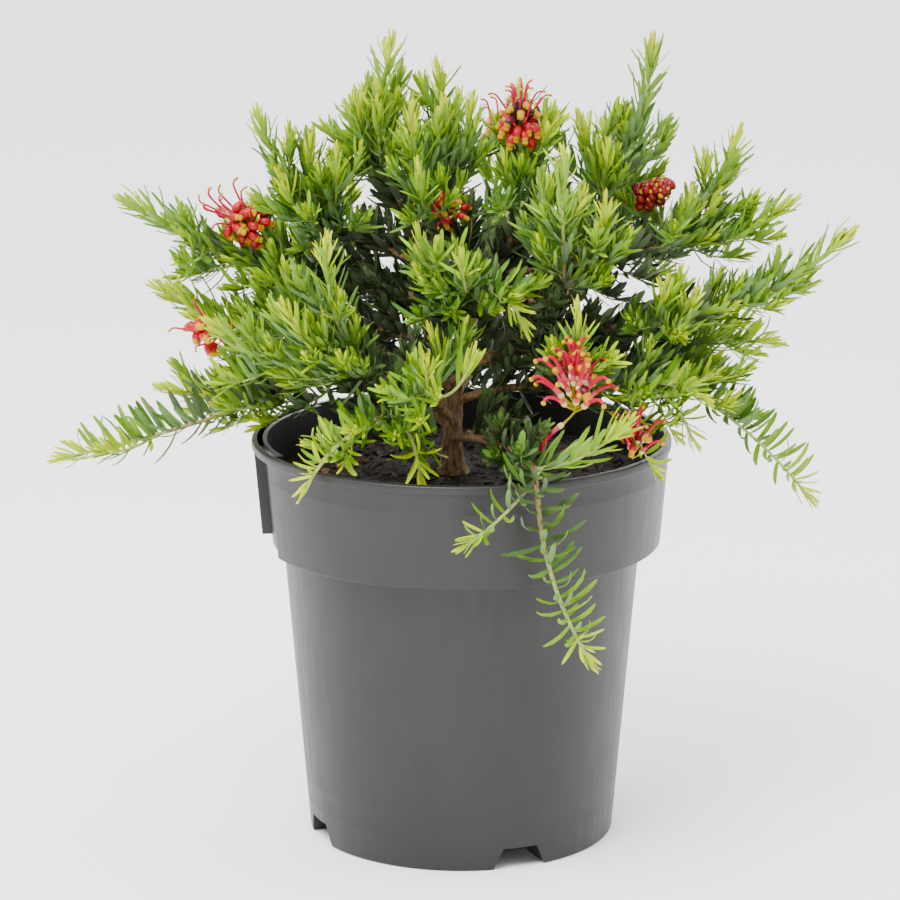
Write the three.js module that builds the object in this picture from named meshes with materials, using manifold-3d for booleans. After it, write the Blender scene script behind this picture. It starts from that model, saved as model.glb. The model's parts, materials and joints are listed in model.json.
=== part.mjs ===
// Potted fireworks grevillea: a young shrub in the nursery pot it grew in.
// Millimetres, +Z up, the origin at the centre of the pot's flat underside, the photographed side towards -Y.

import * as THREE from "three";
import { mergeVertices } from "three/addons/utils/BufferGeometryUtils.js";
import Module from "manifold-3d";

const wasm = await Module();
wasm.setup();

// Driving sizes of the pot, a standard 200 mm nursery pot.
const POT = {
  height: 193,
  footRadius: 73.2,
  shoulderRadius: 85.3,
  shoulderHeight: 143,
  bandLowRadius: 95,
  bandTopRadius: 98.9,
  lipRadius: 100,
  lipHeight: 4,
  lipEdge: 0.8,
  wall: 2,
  floor: 3,
  facets: 40,
};
// Cutting blocks run this far past what they cut.
const PAST = 1;
// Four drain notches in the foot of the wall, trapezoids that a small housing closes off inside.
const NOTCH = { firstBearing: -68, count: 4, footWidth: 27, topWidth: 17, height: 10, depth: 24, wall: 2 };
// The label holder: the band set back over a short arc, and a plate that hangs from the lip in front of it.
// Its radii are those at the shoulder, and its walls lean out as the pot's do, by the draft for each millimetre.
const HOLDER = {
  bearing: 172,
  halfAngle: 33,
  recessRadius: 90.4,
  plateHalfAngle: 14,
  plateInner: 93.2,
  plateOuter: 95.1,
  plateFoot: 150,
  draft: 0.085,
  facets: 10,
};
// The potting mix ends below the lip and keeps off the pot by the gap that all neighbours keep.
const SOIL_TOP = 175;
const GAP = 0.3;

// The trunk: one short leaning stem with a flare where it enters the mix.
const TRUNK = {
  foot: [-4, 0, SOIL_TOP + GAP],
  top: [-1, 1, 234],
  bow: 1.5,
  footRadius: 5.3,
  topRadius: 3.7,
  flareRadius: 3.2,
  flareShare: 0.2,
  buried: -0.02,
};

// The boughs and the mass of foliage that each carries.
// A bough leaves its parent at a share of the parent's length and runs to its tip, with a bow in millimetres.
// Each shoot of its mass runs from that tip to its own, and one with a bloom carries that at its end.
const BOUGHS = [
  {
    name: "left_stem", from: "trunk", at: 0.5, tip: [-31, 8, 310], bow: 5, radii: [2.9, 1.6],
    mass: "top_left",
    shoots: [
      { tip: [-58, 18, 356], bow: -5 },
      { tip: [-53, 0, 360], bow: -4 },
      { tip: [-40, -12, 364], bow: -3 },
      { tip: [-33, 2, 388], bow: 2 },
    ],
  },
  {
    name: "right_stem", from: "trunk", at: 0.93, tip: [36, 4, 304], bow: 4, radii: [3.0, 1.6],
    mass: "top_right",
    shoots: [
      { tip: [27, 0, 338], bow: -2, bloom: "open" },
      { tip: [26, 30, 359], bow: -4 },
      { tip: [15, -35, 326], bow: -6 },
      { tip: [45, -8, 354], bow: 3 },
    ],
  },
  {
    name: "low_left_bough", from: "trunk", at: 0.36, tip: [-72, 6, 217], bow: 8, radii: [2.7, 1.6],
    mass: "low_left_arm",
    shoots: [
      { tip: [-197, -5, 180], bow: -2 },
      { tip: [-149, 22, 208], bow: -4 },
      { tip: [-116, 40, 200], bow: 4 },
    ],
  },
  {
    name: "front_left_bough", from: "trunk", at: 0.66, tip: [-36, -44, 230], bow: 5, radii: [2.4, 1.5],
    mass: "front_left",
    shoots: [
      { tip: [-67, -72, 303], bow: -9 },
      { tip: [-86, -86, 272], bow: -6 },
      { tip: [-122, -70, 261], bow: -7 },
    ],
  },
  {
    name: "hanging_left_bough", from: "trunk", at: 0.42, tip: [-30, -52, 217], bow: 7, radii: [2.2, 1.4],
    mass: "hanging_left",
    shoots: [
      { tip: [-79, -84, 186], bow: 5 },
      { tip: [-14, -86, 190], bow: 5 },
    ],
  },
  {
    name: "mid_left_bough", from: "left_stem", at: 0.26, tip: [-64, -2, 246], bow: 4, radii: [2.1, 1.4],
    mass: "mid_left",
    shoots: [
      { tip: [-150, -10, 265], bow: -6 },
      { tip: [-84, -50, 282], bow: -7 },
      { tip: [-114, -26, 246], bow: 5, bloom: "spent" },
    ],
  },
  {
    name: "left_high_bough", from: "left_stem", at: 0.46, tip: [-62, 8, 268], bow: 3, radii: [2.0, 1.3],
    mass: "left_high",
    shoots: [
      { tip: [-166, 10, 305], bow: -4 },
      { tip: [-99, -28, 271], bow: -4 },
      { tip: [-95, 2, 293], bow: -3, bloom: "open" },
    ],
  },
  {
    name: "upper_left_bough", from: "left_stem", at: 0.62, tip: [-51, 3, 288], bow: 2, radii: [1.9, 1.3],
    mass: "upper_left",
    shoots: [
      { tip: [-102, 0, 350], bow: -6 },
      { tip: [-90, -30, 321], bow: -5 },
      { tip: [-76, -8, 341], bow: -4 },
      { tip: [-57, -22, 334], bow: -4 },
    ],
  },
  {
    name: "top_centre_bough", from: "right_stem", at: 0.5, tip: [-6, -8, 296], bow: -2, radii: [2.0, 1.3],
    mass: "top_centre",
    shoots: [
      { tip: [-28, -28, 357], bow: -5 },
      { tip: [-8, -8, 359], bow: 2 },
      { tip: [8, 18, 355], bow: -4 },
      { tip: [-23, -50, 324], bow: -6 },
    ],
  },
  {
    name: "centre_front_bough", from: "right_stem", at: 0.28, tip: [4, -36, 274], bow: -3, radii: [2.0, 1.3],
    mass: "centre_front",
    shoots: [
      { tip: [-1, -90, 292], bow: -6 },
      { tip: [-27, -68, 300], bow: -6 },
      { tip: [-25, -74, 281], bow: -4 },
      { tip: [36, -68, 266], bow: 5 },
    ],
  },
  {
    name: "right_high_bough", from: "right_stem", at: 0.76, tip: [60, 4, 298], bow: -3, radii: [1.9, 1.3],
    mass: "right_high",
    shoots: [
      { tip: [94, 8, 385], bow: -6 },
      { tip: [56, -2, 352], bow: 2 },
      { tip: [69, -22, 336], bow: -3 },
    ],
  },
  {
    name: "front_right_high_bough", from: "right_stem", at: 0.4,
    tip: [48, -38, 270], bow: -4, radii: [2.0, 1.3],
    mass: "front_right_high",
    shoots: [
      { tip: [45, -72, 343], bow: -8 },
      { tip: [71, -62, 319], bow: -5 },
      { tip: [35, -46, 328], bow: -3 },
      { tip: [68, -50, 292], bow: -3 },
    ],
  },
  {
    name: "right_bough", from: "trunk", at: 0.84, tip: [84, -16, 250], bow: 4, radii: [2.7, 1.5],
    mass: "right_far",
    shoots: [
      { tip: [188, -15, 293], bow: -8 },
      { tip: [96, -56, 276], bow: -4 },
      { tip: [112, -48, 268], bow: -3 },
    ],
  },
  {
    name: "front_right_bough", from: "right_bough", at: 0.34, tip: [48, -62, 240], bow: 3, radii: [2.0, 1.3],
    mass: "front_right",
    shoots: [
      { tip: [51, -86, 240], bow: 3, bloom: "open" },
      { tip: [56, -88, 270], bow: -5 },
    ],
  },
  {
    name: "right_up_bough", from: "right_stem", at: 0.56, tip: [86, 6, 280], bow: -4, radii: [2.0, 1.3],
    mass: "right_up",
    shoots: [
      { tip: [137, 12, 339], bow: -6 },
      { tip: [113, -18, 311], bow: -4 },
      { tip: [162, 0, 304], bow: -5 },
      { tip: [87, 4, 308], bow: 2, bloom: "bud" },
    ],
  },
  {
    name: "right_low_bough", from: "right_bough", at: 0.5, tip: [80, -8, 228], bow: 3, radii: [2.0, 1.3],
    mass: "right_low",
    shoots: [
      { tip: [156, 16, 238], bow: 5 },
      { tip: [170, -30, 168], bow: 6 },
    ],
  },
  {
    name: "right_front_low_bough", from: "trunk", at: 0.58, tip: [70, -38, 224], bow: 5, radii: [2.2, 1.3],
    mass: "right_front_low",
    shoots: [
      { tip: [117, -62, 229], bow: 4 },
      { tip: [117, -42, 203], bow: 6 },
      { tip: [80, -62, 207], bow: 4, bloom: "spent" },
    ],
  },
  {
    name: "front_low_bough", from: "trunk", at: 0.74, tip: [-16, -60, 227], bow: 4, radii: [2.2, 1.4],
    mass: "front_low",
    shoots: [
      { tip: [-16, -112, 252], bow: -5 },
      { tip: [10, -100, 252], bow: -5 },
      { tip: [-6, -66, 262], bow: -3 },
    ],
  },
  {
    name: "pot_front_bough", from: "trunk", at: 0.28, tip: [33, -98, 201], bow: 5, radii: [2.4, 1.5],
    mass: "pot_front",
    shoots: [
      { tip: [82, -92, 221], bow: -3 },
      { tip: [-2, -117, 164], bow: -2 },
    ],
  },
  {
    name: "trailing_bough", from: "pot_front_bough", at: 0.98,
    tip: [34, -107, 190], bow: 1, radii: [1.4, 1.2],
    mass: "trailing",
    shoots: [
      { tip: [58, -114, 108], bow: -4 },
    ],
  },
  {
    name: "back_left_bough", from: "left_stem", at: 0.36, tip: [-50, 50, 254], bow: 3, radii: [2.1, 1.3],
    mass: "back_left",
    shoots: [
      { tip: [-124, 84, 262], bow: -5 },
      { tip: [-92, 118, 284], bow: -5 },
      { tip: [-66, 84, 318], bow: -6 },
    ],
  },
  {
    name: "back_low_left_bough", from: "trunk", at: 0.5, tip: [-46, 50, 218], bow: 6, radii: [2.3, 1.4],
    mass: "back_low_left",
    shoots: [
      { tip: [-118, 88, 200], bow: 6 },
      { tip: [-66, 140, 212], bow: -4 },
    ],
  },
  {
    name: "back_top_bough", from: "left_stem", at: 0.72, tip: [-14, 38, 304], bow: -2, radii: [1.8, 1.3],
    mass: "back_top",
    shoots: [
      { tip: [-42, 72, 352], bow: -5 },
      { tip: [2, 84, 344], bow: -6 },
      { tip: [-8, 48, 368], bow: -3 },
    ],
  },
  {
    name: "back_bough", from: "right_stem", at: 0.18, tip: [12, 62, 258], bow: 3, radii: [2.2, 1.4],
    mass: "back",
    shoots: [
      { tip: [-24, 132, 288], bow: -6 },
      { tip: [30, 148, 276], bow: -5 },
      { tip: [20, 108, 322], bow: -6, bloom: "open" },
    ],
  },
  {
    name: "back_low_bough", from: "trunk", at: 0.62, tip: [26, 66, 222], bow: 6, radii: [2.3, 1.4],
    mass: "back_low",
    shoots: [
      { tip: [-10, 150, 214], bow: 5 },
      { tip: [52, 148, 206], bow: 8 },
      { tip: [112, 104, 214], bow: -4 },
    ],
  },
  {
    name: "back_right_bough", from: "right_stem", at: 0.5, tip: [62, 50, 272], bow: 2, radii: [2.1, 1.3],
    mass: "back_right",
    shoots: [
      { tip: [132, 84, 280], bow: -5 },
      { tip: [92, 112, 316], bow: -6 },
      { tip: [84, 58, 340], bow: -5 },
    ],
  },
];

// The rule that twigs and leaves grow by. A shoot's tip is where its end leaves reach, past its stem's end.
const GROWTH = {
  firstSeed: 4100,
  seedStep: 37,
  leaderRadii: [1.25, 0.75],
  stemRadii: [0.7, 0.7],
  twigRadii: [0.5, 0.6],
  firstFork: 3,
  forkSpacing: 4,
  twigSpacing: 76,
  twigZone: [0.2, 0.7],
  twigAngle: [34, 52],
  twigLength: [20, 38],
  twigBow: -0.08,
  tuft: 15,
  leafZone: [0.24, 0.92],
  leafJitter: 0.3,
  leafSpacing: 22,
  leafAngle: [52, 26],
  tipLeaves: 2,
  tipSpacing: 2.5,
  tipAngle: 20,
  goldenAngle: 137.5,
};
// One leaf of the solids is larger than life and stands for several of the plant's own.
const LEAF = { length: 33, shortest: 20, width: 10, thick: 1.9, widest: 0.42, sunk: 0.5 };
const MARGIN = { ownSpace: 0.9, limb: 1.2, pot: 1.5 };
const STYLE = { radii: [0.85, 0.6], bow: 0.18 };
const BLOOM = {
  open: { styles: 6, length: 24, fan: 78, core: 8 },
  spent: { styles: 4, length: 13, fan: 60, core: 7 },
  bud: { styles: 3, length: 8, fan: 70, core: 8 },
};

// Colours, in sRGB.
const COLOUR = {
  plastic: 0x5b5a5a,
  soil: 0x3a2a1f,
  bark: 0x7a5a44,
  bough: 0x8a6650,
  foliage: 0x6f9a3c,
};

const radians = THREE.MathUtils.degToRad;

// Vector helpers.
const vector = (p) => new THREE.Vector3(...p);

// A seeded source of numbers from 0 to 1, so that the same shrub grows each time.
function seeded(seed) {
  let state = seed;
  return () => {
    state = (state * 48271) % 2147483647;
    return state / 2147483647;
  };
}

// A limb's course: a straight run that is bowed in its own upright plane.
class Course {
  constructor(start, end, bow) {
    this.start = start;
    this.chord = end.clone().sub(start);
    this.length = this.chord.length();
    const bearing = Math.atan2(this.chord.y, this.chord.x);
    this.side = new THREE.Vector3(Math.sin(bearing), -Math.cos(bearing), 0);
    this.bowed = this.side.clone().cross(this.chord).normalize().multiplyScalar(4 * bow);
  }

  point(t) {
    return this.start.clone().addScaledVector(this.chord, t).addScaledVector(this.bowed, t * (1 - t));
  }

  tangent(t) {
    return this.chord.clone().addScaledVector(this.bowed, 1 - 2 * t).normalize();
  }

  normal(t) {
    return this.side.clone().cross(this.tangent(t));
  }

  // The direction that leans from the course at t by `lean` degrees, turned by `turn` degrees round it.
  leaning(t, lean, turn) {
    const across = this.side.clone().multiplyScalar(Math.cos(radians(turn)));
    across.addScaledVector(this.normal(t), Math.sin(radians(turn)));
    const along = this.tangent(t).multiplyScalar(Math.cos(radians(lean)));
    return along.addScaledVector(across, Math.sin(radians(lean)));
  }
}

// Solids from three.js geometries, and back.
function solidOf(geometry) {
  geometry.deleteAttribute("normal");
  geometry.deleteAttribute("uv");
  const merged = mergeVertices(geometry, 1e-4);
  const triVerts = new Uint32Array(merged.index.array);
  return new wasm.Manifold(
    new wasm.Mesh({ numProp: 3, vertProperties: merged.attributes.position.array, triVerts }),
  );
}

function geometryOf(solid) {
  const mesh = solid.getMesh();
  const geometry = new THREE.BufferGeometry();
  geometry.setAttribute("position", new THREE.BufferAttribute(mesh.vertProperties, 3));
  geometry.setIndex(new THREE.BufferAttribute(mesh.triVerts, 1));
  geometry.computeVertexNormals();
  return geometry;
}

// The largest body of a solid, without scraps or sealed hollows.
function mainBody(solid) {
  return solid.decompose().reduce((best, body) => (body.volume() > best.volume() ? body : best));
}

// A tapered limb: a cylinder whose rings are laid along a course.
function limb(course, radiusAt, sides, rings, from = 0, to = 1) {
  const geometry = new THREE.CylinderGeometry(1, 1, 1, sides, rings);
  const position = geometry.attributes.position;
  for (let i = 0; i < position.count; i += 1) {
    const t = from + (to - from) * (position.getY(i) + 0.5);
    const radius = radiusAt(t);
    const place = course.point(t)
      .addScaledVector(course.side, -radius * position.getZ(i))
      .addScaledVector(course.normal(t), radius * position.getX(i));
    position.setXYZ(i, place.x, place.y, place.z);
  }
  return solidOf(geometry);
}

const taper = ([foot, tip], grown = 0) => (t) => THREE.MathUtils.lerp(foot, tip, t) + grown;

// A solid of revolution about Z from its profile of radius and height.
function turned(profile) {
  const outline = profile.map(([radius, height]) => new THREE.Vector2(radius, height));
  const geometry = new THREE.LatheGeometry(outline, POT.facets);
  geometry.rotateX(Math.PI / 2);
  return solidOf(geometry);
}

// A sector of a ring about Z, from one height to another, leaning out from its radii at the shoulder.
function ringSector(inner, outer, low, high, bearing, halfAngle) {
  const shape = new THREE.Shape();
  const first = radians(bearing - halfAngle);
  const last = radians(bearing + halfAngle);
  shape.absarc(0, 0, outer, first, last, false);
  shape.absarc(0, 0, inner, last, first, true);
  const depth = high - low;
  const geometry = new THREE.ExtrudeGeometry(
    shape, { depth, bevelEnabled: false, curveSegments: HOLDER.facets },
  );
  geometry.translate(0, 0, low);
  const position = geometry.attributes.position;
  for (let i = 0; i < position.count; i += 1) {
    const [x, y, z] = [position.getX(i), position.getY(i), position.getZ(i)];
    const grown = 1 + (HOLDER.draft * (z - POT.shoulderHeight)) / Math.hypot(x, y);
    position.setXYZ(i, x * grown, y * grown, z);
  }
  return solidOf(geometry);
}

// A drain notch's trapezoid on the wall's foot at its bearing, from one radius to another.
function notchBlock(bearing, grown, inner, outer) {
  const half = NOTCH.footWidth / 2 + grown;
  const topHalf = NOTCH.topWidth / 2 + grown;
  const top = NOTCH.height + grown;
  const shape = new THREE.Shape();
  shape.moveTo(-half, -PAST);
  shape.lineTo(half, -PAST);
  shape.lineTo(topHalf, top);
  shape.lineTo(-topHalf, top);
  const geometry = new THREE.ExtrudeGeometry(shape, { depth: outer - inner, bevelEnabled: false });
  geometry.rotateX(Math.PI / 2);
  geometry.rotateZ(radians(bearing + 90));
  geometry.translate(inner * Math.cos(radians(bearing)), inner * Math.sin(radians(bearing)), 0);
  return solidOf(geometry);
}

const notchBearings = Array.from(
  { length: NOTCH.count }, (_, i) => NOTCH.firstBearing + (360 / NOTCH.count) * i,
);
const notchInner = POT.footRadius - NOTCH.depth;

function notchHousing(bearing, gap) {
  const grown = NOTCH.wall + gap;
  return notchBlock(bearing, grown, notchInner - grown, POT.footRadius);
}

// The pot's outside as one filled form.
function potForm() {
  const p = POT;
  const lipFoot = p.height - p.lipHeight;
  return turned([
    [0, 0], [p.footRadius, 0], [p.shoulderRadius, p.shoulderHeight], [p.bandLowRadius, p.shoulderHeight],
    [p.bandTopRadius, lipFoot], [p.lipRadius - p.lipEdge, lipFoot], [p.lipRadius, p.height - p.lipHeight / 2],
    [p.lipRadius - p.lipEdge, p.height], [0, p.height],
  ]);
}

function pot() {
  const lipFoot = POT.height - POT.lipHeight;
  const { bearing, halfAngle, recessRadius, plateInner, plateOuter, plateFoot, plateHalfAngle } = HOLDER;
  const outside = POT.lipRadius + PAST;
  const recess = ringSector(recessRadius, outside, POT.shoulderHeight - PAST, lipFoot, bearing, halfAngle);
  const slot = ringSector(recessRadius, plateInner, lipFoot - PAST, POT.height + PAST, bearing, halfAngle);
  const plate = ringSector(plateInner, plateOuter, plateFoot, lipFoot + PAST, bearing, plateHalfAngle);
  const form = potForm();
  let body = form.subtract(recess).subtract(slot).subtract(cavity(0)).add(plate);
  for (const notch of notchBearings) {
    body = body.add(notchHousing(notch, 0).intersect(form));
  }
  for (const notch of notchBearings) {
    body = body.subtract(notchBlock(notch, 0, notchInner, POT.shoulderRadius));
  }
  return mainBody(body);
}

// The room inside the pot, drawn in from its walls by a gap.
function cavity(gap) {
  const p = POT;
  const inset = p.wall + gap;
  const shoulder = p.shoulderHeight + p.wall + gap;
  const room = turned([
    [0, p.floor + gap], [p.footRadius - inset, p.floor + gap], [p.shoulderRadius - inset, shoulder],
    [p.bandLowRadius - inset, shoulder], [p.bandTopRadius - inset, p.height + PAST], [0, p.height + PAST],
  ]);
  const bulgeHalfAngle = HOLDER.halfAngle + THREE.MathUtils.radToDeg(inset / HOLDER.recessRadius);
  const bulge = ringSector(
    HOLDER.recessRadius - inset, p.lipRadius + PAST, p.shoulderHeight - inset, p.height + 2 * PAST,
    HOLDER.bearing, bulgeHalfAngle,
  );
  return room.subtract(bulge);
}

function soil() {
  const top = turned([[0, 0], [POT.lipRadius, 0], [POT.lipRadius, SOIL_TOP], [0, SOIL_TOP]]);
  let mix = cavity(GAP).intersect(top);
  for (const bearing of notchBearings) {
    mix = mix.subtract(notchHousing(bearing, GAP));
  }
  return mainBody(mix);
}

// The trunk and the boughs, each cut clear of those before it.
const trunkCourse = new Course(vector(TRUNK.foot), vector(TRUNK.top), TRUNK.bow);
const trunkRadius = (grown) => (t) => {
  const flare = TRUNK.flareRadius * Math.max(0, 1 - t / TRUNK.flareShare) ** 2;
  return THREE.MathUtils.lerp(TRUNK.footRadius, TRUNK.topRadius, t) + flare + grown;
};
const SIDES = { trunk: 10, bough: 5, twig: 3 };
const RINGS = { trunk: 8, bough: 3, stem: 3, twig: 1, style: 2 };

function aboveSoil(solid) {
  const room = turned([
    [0, TRUNK.foot[2]], [POT.lipRadius, TRUNK.foot[2]], [POT.lipRadius, 2 * POT.height], [0, 2 * POT.height],
  ]);
  return solid.intersect(room);
}

const courses = new Map([["trunk", trunkCourse]]);
for (const bough of BOUGHS) {
  const parent = courses.get(bough.from);
  courses.set(bough.name, new Course(parent.point(bough.at), vector(bough.tip), bough.bow));
}

const trunkFrom = (grown) =>
  limb(
    trunkCourse, trunkRadius(grown), SIDES.trunk, RINGS.trunk, TRUNK.buried, 1 + grown / trunkCourse.length,
  );
const limbs = new Map([["trunk", aboveSoil(trunkFrom(0))]]);
let standing = trunkFrom(GAP);
for (const bough of BOUGHS) {
  const course = courses.get(bough.name);
  const solid = limb(course, taper(bough.radii), SIDES.bough, RINGS.bough);
  limbs.set(bough.name, mainBody(solid.subtract(standing)));
  standing = standing.add(
    limb(course, taper(bough.radii, GAP), SIDES.bough, RINGS.bough, 0, 1 + GAP / course.length),
  );
}

// The stems of each mass: its leader starts a gap past the bough's tip, and the others fork from its foot.
function stemTo(shoot, start, radii) {
  const tip = vector(shoot.tip);
  const tuft = shoot.bloom ? 0 : GROWTH.tuft;
  const end = tip.clone().addScaledVector(tip.clone().sub(start).normalize(), -tuft);
  return { course: new Course(start, end, shoot.bow), radii, bloom: shoot.bloom };
}

for (const bough of BOUGHS) {
  const course = courses.get(bough.name);
  const foot = course.point(1).addScaledVector(course.tangent(1), GAP);
  const [first, ...others] = bough.shoots;
  const leader = stemTo(first, foot, GROWTH.leaderRadii);
  const forks = others.map((shoot, i) => {
    const share = (GROWTH.firstFork + GROWTH.forkSpacing * i) / leader.course.length;
    return stemTo(shoot, leader.course.point(share), GROWTH.stemRadii);
  });
  bough.stems = [leader, ...forks];
}

// Distances that tell whose space a point is in.
const sampled = (course, count) => Array.from({ length: count + 1 }, (_, i) => course.point(i / count));
const segment = new THREE.Line3();
const nearest = new THREE.Vector3();
function distanceTo(points, place) {
  let least = Infinity;
  for (let i = 1; i < points.length; i += 1) {
    segment.set(points[i - 1], points[i]).closestPointToPoint(place, true, nearest);
    least = Math.min(least, nearest.distanceTo(place));
  }
  return least;
}

const stemLines = BOUGHS.map((bough) => bough.stems.map((stem) => sampled(stem.course, 6)));
const limbLines = [
  { line: sampled(trunkCourse, 4), radius: TRUNK.footRadius },
  ...BOUGHS.map((bough) => ({ line: sampled(courses.get(bough.name), 6), radius: bough.radii[0] })),
];

// Whether all the points lie in the mass's own space, over the soil, off the pot and off the limbs.
function isClear(mass, places) {
  return places.every((place) => {
    const reach = Math.hypot(place.x, place.y);
    if (place.z < SOIL_TOP + MARGIN.pot) {
      if (reach < POT.lipRadius + MARGIN.pot) return false;
    }
    if (place.z < POT.height + MARGIN.pot) {
      if (Math.abs(reach - POT.lipRadius) < POT.lipHeight + MARGIN.pot) return false;
    }
    if (limbLines.some(({ line, radius }) => distanceTo(line, place) < radius + MARGIN.limb)) return false;
    const own = Math.min(...stemLines[mass].map((line) => distanceTo(line, place)));
    return stemLines.every(
      (lines, other) =>
        other === mass || lines.every((line) => distanceTo(line, place) > own + 2 * MARGIN.ownSpace),
    );
  });
}

// A leaf: a blade of eight faces, keeled above and below, whose root is sunk in its twig.
const leafFaces = [
  [0, 3, 1], [0, 2, 3], [0, 1, 4], [0, 4, 2], [5, 1, 3], [5, 3, 2], [5, 4, 1], [5, 2, 4],
];
function leaf(foot, along, up, length) {
  const across = along.clone().cross(up);
  const size = length / LEAF.length;
  const place = (l, w, h) =>
    foot.clone().addScaledVector(along, l).addScaledVector(across, w * size).addScaledVector(up, h * size);
  const middle = length * LEAF.widest;
  const corners = [
    place(-LEAF.sunk, 0, 0),
    place(middle, -LEAF.width / 2, 0),
    place(middle, LEAF.width / 2, 0),
    place(middle, 0, LEAF.thick / 2),
    place(middle, 0, -LEAF.thick / 2),
    place(length, 0, 0),
  ];
  const geometry = new THREE.BufferGeometry();
  geometry.setAttribute("position", new THREE.Float32BufferAttribute(corners.flatMap((c) => c.toArray()), 3));
  geometry.setIndex(leafFaces.flat());
  return { geometry, samples: [corners[1], corners[2], corners[5], place(length * 0.7, 0, 0)] };
}

// Leaves in a spiral up a stem or twig, closer and steeper towards its tip, with a tuft at the end.
function leavesOn(mass, course, random) {
  const grown = [];
  const leafy = course.length * (1 - GROWTH.leafZone[0]);
  const count = Math.max(1, Math.round(leafy / GROWTH.leafSpacing));
  let turn = 360 * random();
  const place = (t, lean, length) => {
    turn += GROWTH.goldenAngle;
    const along = course.leaning(t, lean, turn);
    const up = course.tangent(t).addScaledVector(along, -course.tangent(t).dot(along)).normalize();
    const blade = leaf(course.point(t), along, up, length);
    if (isClear(mass, blade.samples)) grown.push(blade.geometry);
  };
  for (let i = 0; i < count; i += 1) {
    const t = THREE.MathUtils.lerp(...GROWTH.leafZone, (i + GROWTH.leafJitter * random()) / count);
    const lean = THREE.MathUtils.lerp(...GROWTH.leafAngle, t);
    place(t, lean, THREE.MathUtils.lerp(LEAF.length, LEAF.shortest, t));
  }
  for (let i = 0; i < GROWTH.tipLeaves; i += 1) {
    place(1 - (GROWTH.tipSpacing * i + 1) / course.length, GROWTH.tipAngle, LEAF.shortest);
  }
  return grown;
}

// Side twigs that branch from a stem, curving upwards.
function twigsOn(mass, course, random) {
  const twigs = [];
  const count = Math.floor(course.length / GROWTH.twigSpacing);
  let turn = 360 * random();
  for (let i = 0; i < count; i += 1) {
    const t = THREE.MathUtils.lerp(...GROWTH.twigZone, (i + random()) / count);
    turn += GROWTH.goldenAngle;
    const lean = THREE.MathUtils.lerp(...GROWTH.twigAngle, random());
    const length = THREE.MathUtils.lerp(...GROWTH.twigLength, random());
    const start = course.point(t);
    const end = start.clone().addScaledVector(course.leaning(t, lean, turn), length);
    const twig = new Course(start, end, GROWTH.twigBow * length);
    if (isClear(mass, [twig.point(0.5), twig.point(0.8), end])) twigs.push(twig);
  }
  return twigs;
}

// A flower head: a small core and long curved styles that spray from it.
function bloomOn(course, kind, random) {
  const { styles, length, fan, core } = BLOOM[kind];
  const heart = course.point(1);
  const ball = new THREE.OctahedronGeometry(core / 2, 0);
  ball.translate(heart.x, heart.y, heart.z);
  const parts = [solidOf(ball)];
  const turn = 360 * random();
  for (let i = 0; i < styles; i += 1) {
    const lean = fan * Math.sqrt((i + 0.5) / styles);
    const end = heart.clone().addScaledVector(course.leaning(1, lean, turn + GROWTH.goldenAngle * i), length);
    const style = new Course(heart.clone(), end, length * STYLE.bow);
    parts.push(limb(style, taper(STYLE.radii), SIDES.twig, RINGS.style));
  }
  return parts;
}

// A mass of foliage: its stems, twigs, leaves and blooms, all fused into one body.
function mass(bough, index) {
  const random = seeded(GROWTH.firstSeed + GROWTH.seedStep * index);
  const parts = [];
  bough.stems.forEach(({ course, radii, bloom }) => {
    parts.push(limb(course, taper(radii), SIDES.twig, RINGS.stem));
    const twigs = twigsOn(index, course, random);
    for (const twig of twigs) {
      parts.push(limb(twig, taper(GROWTH.twigRadii), SIDES.twig, RINGS.twig));
    }
    for (const shoot of [course, ...twigs]) {
      parts.push(...leavesOn(index, shoot, random).map(solidOf));
    }
    if (bloom) parts.push(...bloomOn(course, bloom, random));
  });
  const fused = parts.reduce((whole, part) => whole.add(part));
  return mainBody(fused.subtract(standing));
}

function mesh(name, solid, color, roughness) {
  const made = new THREE.Mesh(
    geometryOf(solid),
    new THREE.MeshStandardMaterial({ color, roughness, metalness: 0 }),
  );
  made.name = name;
  return made;
}

const shrub = new THREE.Group();
shrub.add(mesh("pot", pot(), COLOUR.plastic, 0.45));
shrub.add(mesh("soil", soil(), COLOUR.soil, 0.95));
shrub.add(mesh("trunk", limbs.get("trunk"), COLOUR.bark, 0.85));
for (const [index, bough] of BOUGHS.entries()) {
  shrub.add(mesh(bough.name, limbs.get(bough.name), COLOUR.bough, 0.8));
  shrub.add(mesh(bough.mass + "_foliage", mass(bough, index), COLOUR.foliage, 0.6));
}

export default shrub;
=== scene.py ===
"""Potted fireworks grevillea: the looks of a young flowering shrub and the nursery pot it grew in.

The file is laid out as an add-on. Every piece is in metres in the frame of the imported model, +Z up,
and the shrub grows by the same rule as the model's solids, whose sizes are in millimetres here too.
"""

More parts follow.
